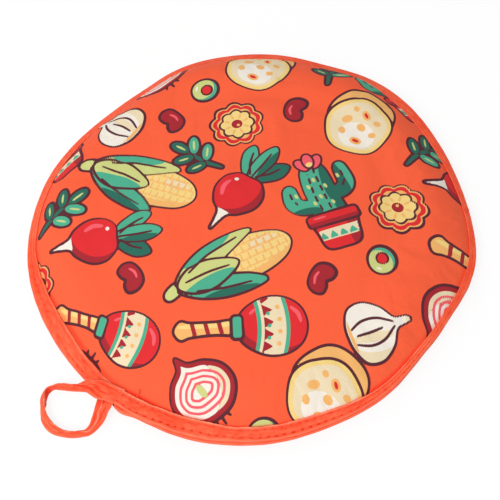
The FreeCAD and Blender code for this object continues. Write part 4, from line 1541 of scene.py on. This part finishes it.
def makeLoop():
    # Three smooth lines carry the short edge, the fold and the long edge. Across them the tape runs
    # straight from each edge to a round fold: fold + (short - fold) * f(-s) + (long - fold) * f(s), where
    # f(s) = (sqrt(s*s + e*e) + s) / 2.
    stations = np.array(loop["stations"]).reshape(-1, 9)
    number = 0.01 * np.arange(len(stations))[:, None]
    track = smoothCurve(np.hstack([stations, number]), loop["points"])
    short, fold, long = (track[:, None, n : n + 3] for n in (0, 3, 6))
    station = track[:, 9:] * 100
    share = np.linspace(-1, 1, loop["acrossPoints"])
    share = np.sign(share) * np.abs(share) ** 1.25  # more points beside the fold
    bend = np.sqrt(share**2 + loop["foldRound"] ** 2)
    toShort, toLong = (((bend + sign * share) / 2)[None, :, None] for sign in (-1, 1))
    front = fold + (short - fold) * toShort + (long - fold) * toLong
    flow = np.gradient(front, axis=0)
    face = np.cross(flow, np.gradient(front, axis=1))
    face /= np.linalg.norm(face, axis=2)[..., None]
    along = np.concatenate([[0], np.cumsum(np.linalg.norm(np.diff(track[:, 3:6], axis=0), axis=1))])
    s = share[None, :]
    # Where the tape leaves the mouth's lip it still has the lip's bead and rows.
    lip = 1 - smoothStep(station, 0.8, 4.0)
    shape = lip * sum(height * bell(s, at, wide) for at, wide, height in loop["lipRidges"])
    # Gathers that close up at the crossing, and the wavy crush of a ribbon bent round on its edge.
    pinch = smoothStep(station, 1.5, 3.5) * (1 - smoothStep(station, 6, 9))
    shape = shape + pinch * sum(height * bell(s, at, wide) for at, wide, height in loop["gathers"])
    draw = np.random.default_rng(77)
    crush = 0
    for size, length, lean in loop["crush"]:
        crush = crush + size * np.sin(
            2 * math.pi * along[:, None] / length + lean * s + draw.uniform(0, 6.28)
        )
    shape = shape + crush * (1 - 0.6 * np.abs(s) ** 4) * smoothStep(station, 3, 7)
    pressed = np.zeros(shape.shape)
    flat = 1 - np.abs(s) ** 6
    for begin, end, depth, wide in loopCreases:
        dx, dy = (end[0] - begin[0]) * stationShare, end[1] - begin[1]
        px, py = (station - begin[0]) * stationShare, s - begin[1]
        t = np.clip((px * dx + py * dy) / (dx * dx + dy * dy), 0, 1)
        away = np.hypot(px - t * dx, py - t * dy)
        groove = bell(away, 0, wide) * np.sqrt(np.clip(4 * t * (1 - t) + 0.1, 0, 1)) * depth
        pressed = np.maximum(pressed, groove)
    front = front + face * (shape - pressed * flat)[..., None]
    thin = loop["thickness"] * (1 - 0.4 * np.abs(s) ** 10)[..., None]
    back = front - face * thin
    turn = math.radians(loop["azimuth"])
    place = np.array([[math.cos(turn), math.sin(turn), 0], [-math.sin(turn), math.cos(turn), 0], [0, 0, 1.0]])
    piece = slab("hangingLoop", front @ place, back @ place)
    across = np.cumsum(np.concatenate([[0], np.linalg.norm(np.diff(front[60], axis=0), axis=1)]))
    plan = np.stack(np.broadcast_arrays(along[:, None], across[None, :]), axis=-1).reshape(-1, 2)
    addClothPlan(piece, np.concatenate([plan, plan]))
    wander, length = loop["wave"]
    wavy = s - wander * np.sin(2 * math.pi * along[:, None] / length)
    # Painted highlight along the wandering fold line, on both edges, and on the lip's bead.
    paintedHighlight = 0.85 * bell(wavy, 0, 0.10) * smoothStep(station, 5, 8) + 0.5 * np.abs(s) ** 12
    paintedHighlight = paintedHighlight + lip * 0.6 * bell(s, -0.80, 0.10)
    # Painted shade: in the pressed creases, on the inner face where the loop turns, and on the short leg's
    # half from station 23 on.
    inside = smoothStep(station, 12, 14) * (1 - smoothStep(station, 17, 19)) * smoothStep(s, 0.0, 0.25)
    under = 0.18 * smoothStep(-s, -0.02, 0.08) * smoothStep(station, 23, 26)
    dark = np.maximum(1.7 * pressed, 0.5 * inside) + under
    for field, values in {"paintedHighlight": paintedHighlight, "pullAndPaintedShade": dark}.items():
        addField(piece, field, np.tile(np.clip(np.broadcast_to(values, front.shape[:2]), 0, 1).ravel(), 2))
    piece.data.materials.append(tapeCloth)
    return piece, front @ place, flow @ place, face @ place, along, station[:, 0], place


hangingLoop, front, flow, face, along, station, place = makeLoop()
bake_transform(hangingLoop)
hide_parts("hanging_loop", "loop_upper_end", "loop_lower_end")

# A seam runs down the short leg, beside the fold.
seam = loop["seam"]
begin, stop = np.interp((seam["from"], len(loop["stations"]) - seam["short"]), station, along)
places = np.arange(begin, stop, seam["pitch"])
lines = (part[:, seam["column"]] for part in (front, flow, face))
centre, way, up = (
    np.stack([np.interp(places, along, column) for column in line.T], axis=1) for line in lines
)
way /= np.linalg.norm(way, axis=1)[:, None]
loopSeam = stitchMesh("hangingLoopSeam", centre - seam["sunk"] * up, way, up, seam["stitch"])
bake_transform(loopSeam)
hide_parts("loop_edge_seam")
print("hanging loop made")

# ---- floor, light and camera ----
studio = {
    "floor": 3000.0,  # half its side
    "floorLevel": -0.3,
    "whiteShare": 0.85,
    "world": 0.55,
    "key": {"place": (-0.98, -0.6, 1.25), "size": 0.9, "power": 15.8},
    "fill": {"place": (-0.3, 0.9, 1.1), "size": 1.2, "power": 4.0},
}


def makeFloor():
    # Matt white board. The camera sees most of it as plain white, and the rest keeps the shadow.
    material, tree = newMaterial("whiteBoard")
    matt = addNode(tree, "BsdfDiffuse", {"Color": linear("#fbfbfb")})
    white = addNode(tree, "Emission", {"Color": linear("#ffffff"), "Strength": 1.0})
    ray = addNode(tree, "LightPath").outputs
    seen = combine(tree, "MAXIMUM", ray["Is Camera Ray"], ray["Is Glossy Ray"])
    seen = combine(tree, "MAXIMUM", seen, ray["Is Transmission Ray"])
    share = combine(tree, "MULTIPLY", seen, studio["whiteShare"])
    top = addNode(tree, "MixShader", {0: share, 1: matt.outputs[0], 2: white.outputs[0]})
    below = addNode(tree, "BsdfTransparent")
    side = addNode(tree, "NewGeometry").outputs["Backfacing"]
    finishMaterial(tree, addNode(tree, "MixShader", {0: side, 1: top.outputs[0], 2: below.outputs[0]}))
    size, level = studio["floor"], studio["floorLevel"]
    points = np.array(
        [(-size, -size, level), (size, -size, level), (size, size, level), (-size, size, level)]
    )
    floor = newPiece("floor", points, [np.array([[0, 1, 2, 3]])], smooth=False)
    floor.data.materials.append(material)


makeFloor()
world = bpy.data.worlds.new("softStudio")
scene.world = world
world.use_nodes = True
sky = world.node_tree
sky.nodes.clear()
rays = addNode(sky, "LightPath").outputs["Is Camera Ray"]
plain, seen = (
    addNode(sky, "Background", {"Color": (1, 1, 1, 1), "Strength": n}) for n in (studio["world"], 1.0)
)
mixed = addNode(sky, "MixShader", {0: rays, 1: plain.outputs[0], 2: seen.outputs[0]})
addNode(sky, "OutputWorld", {"Surface": mixed.outputs[0]})
for name in ("key", "fill"):
    light = bpy.data.lights.new(name, "AREA")
    light.shape = "DISK"
    light.size = studio[name]["size"]
    light.energy = studio[name]["power"]
    lamp = bpy.data.objects.new(name, light)
    scene.collection.objects.link(lamp)
    lamp.location = studio[name]["place"]
    lamp.rotation_euler = (-Vector(studio[name]["place"])).to_track_quat("-Z", "Y").to_euler()

eye = {
    "azimuth": -20.46, "elevation": 60.84, "roll": -9.64, "aim": (-6.9, -16.0, 6.3), "distance": 669.2,
    "lens": 70.0,
}
a, e, roll = (math.radians(eye[k]) for k in ("azimuth", "elevation", "roll"))
back = Vector((math.sin(a) * math.cos(e), -math.cos(a) * math.cos(e), math.sin(e)))
level = Vector((0, 0, 1)).cross(back).normalized()
rise = back.cross(level)
right = math.cos(roll) * level + math.sin(roll) * rise
upward = -math.sin(roll) * level + math.cos(roll) * rise
lens = bpy.data.cameras.new("camera")
lens.lens = eye["lens"]
lens.sensor_width = 36.0
camera = bpy.data.objects.new("camera", lens)
scene.collection.objects.link(camera)
turned = Matrix((right, upward, back)).transposed().to_4x4()
camera.matrix_world = Matrix.Translation((Vector(eye["aim"]) + back * eye["distance"]) * mm) @ turned
lens.clip_start, lens.clip_end = 0.01, 50
scene.camera = camera
scene.view_settings.view_transform = "Standard"
print("studio made")
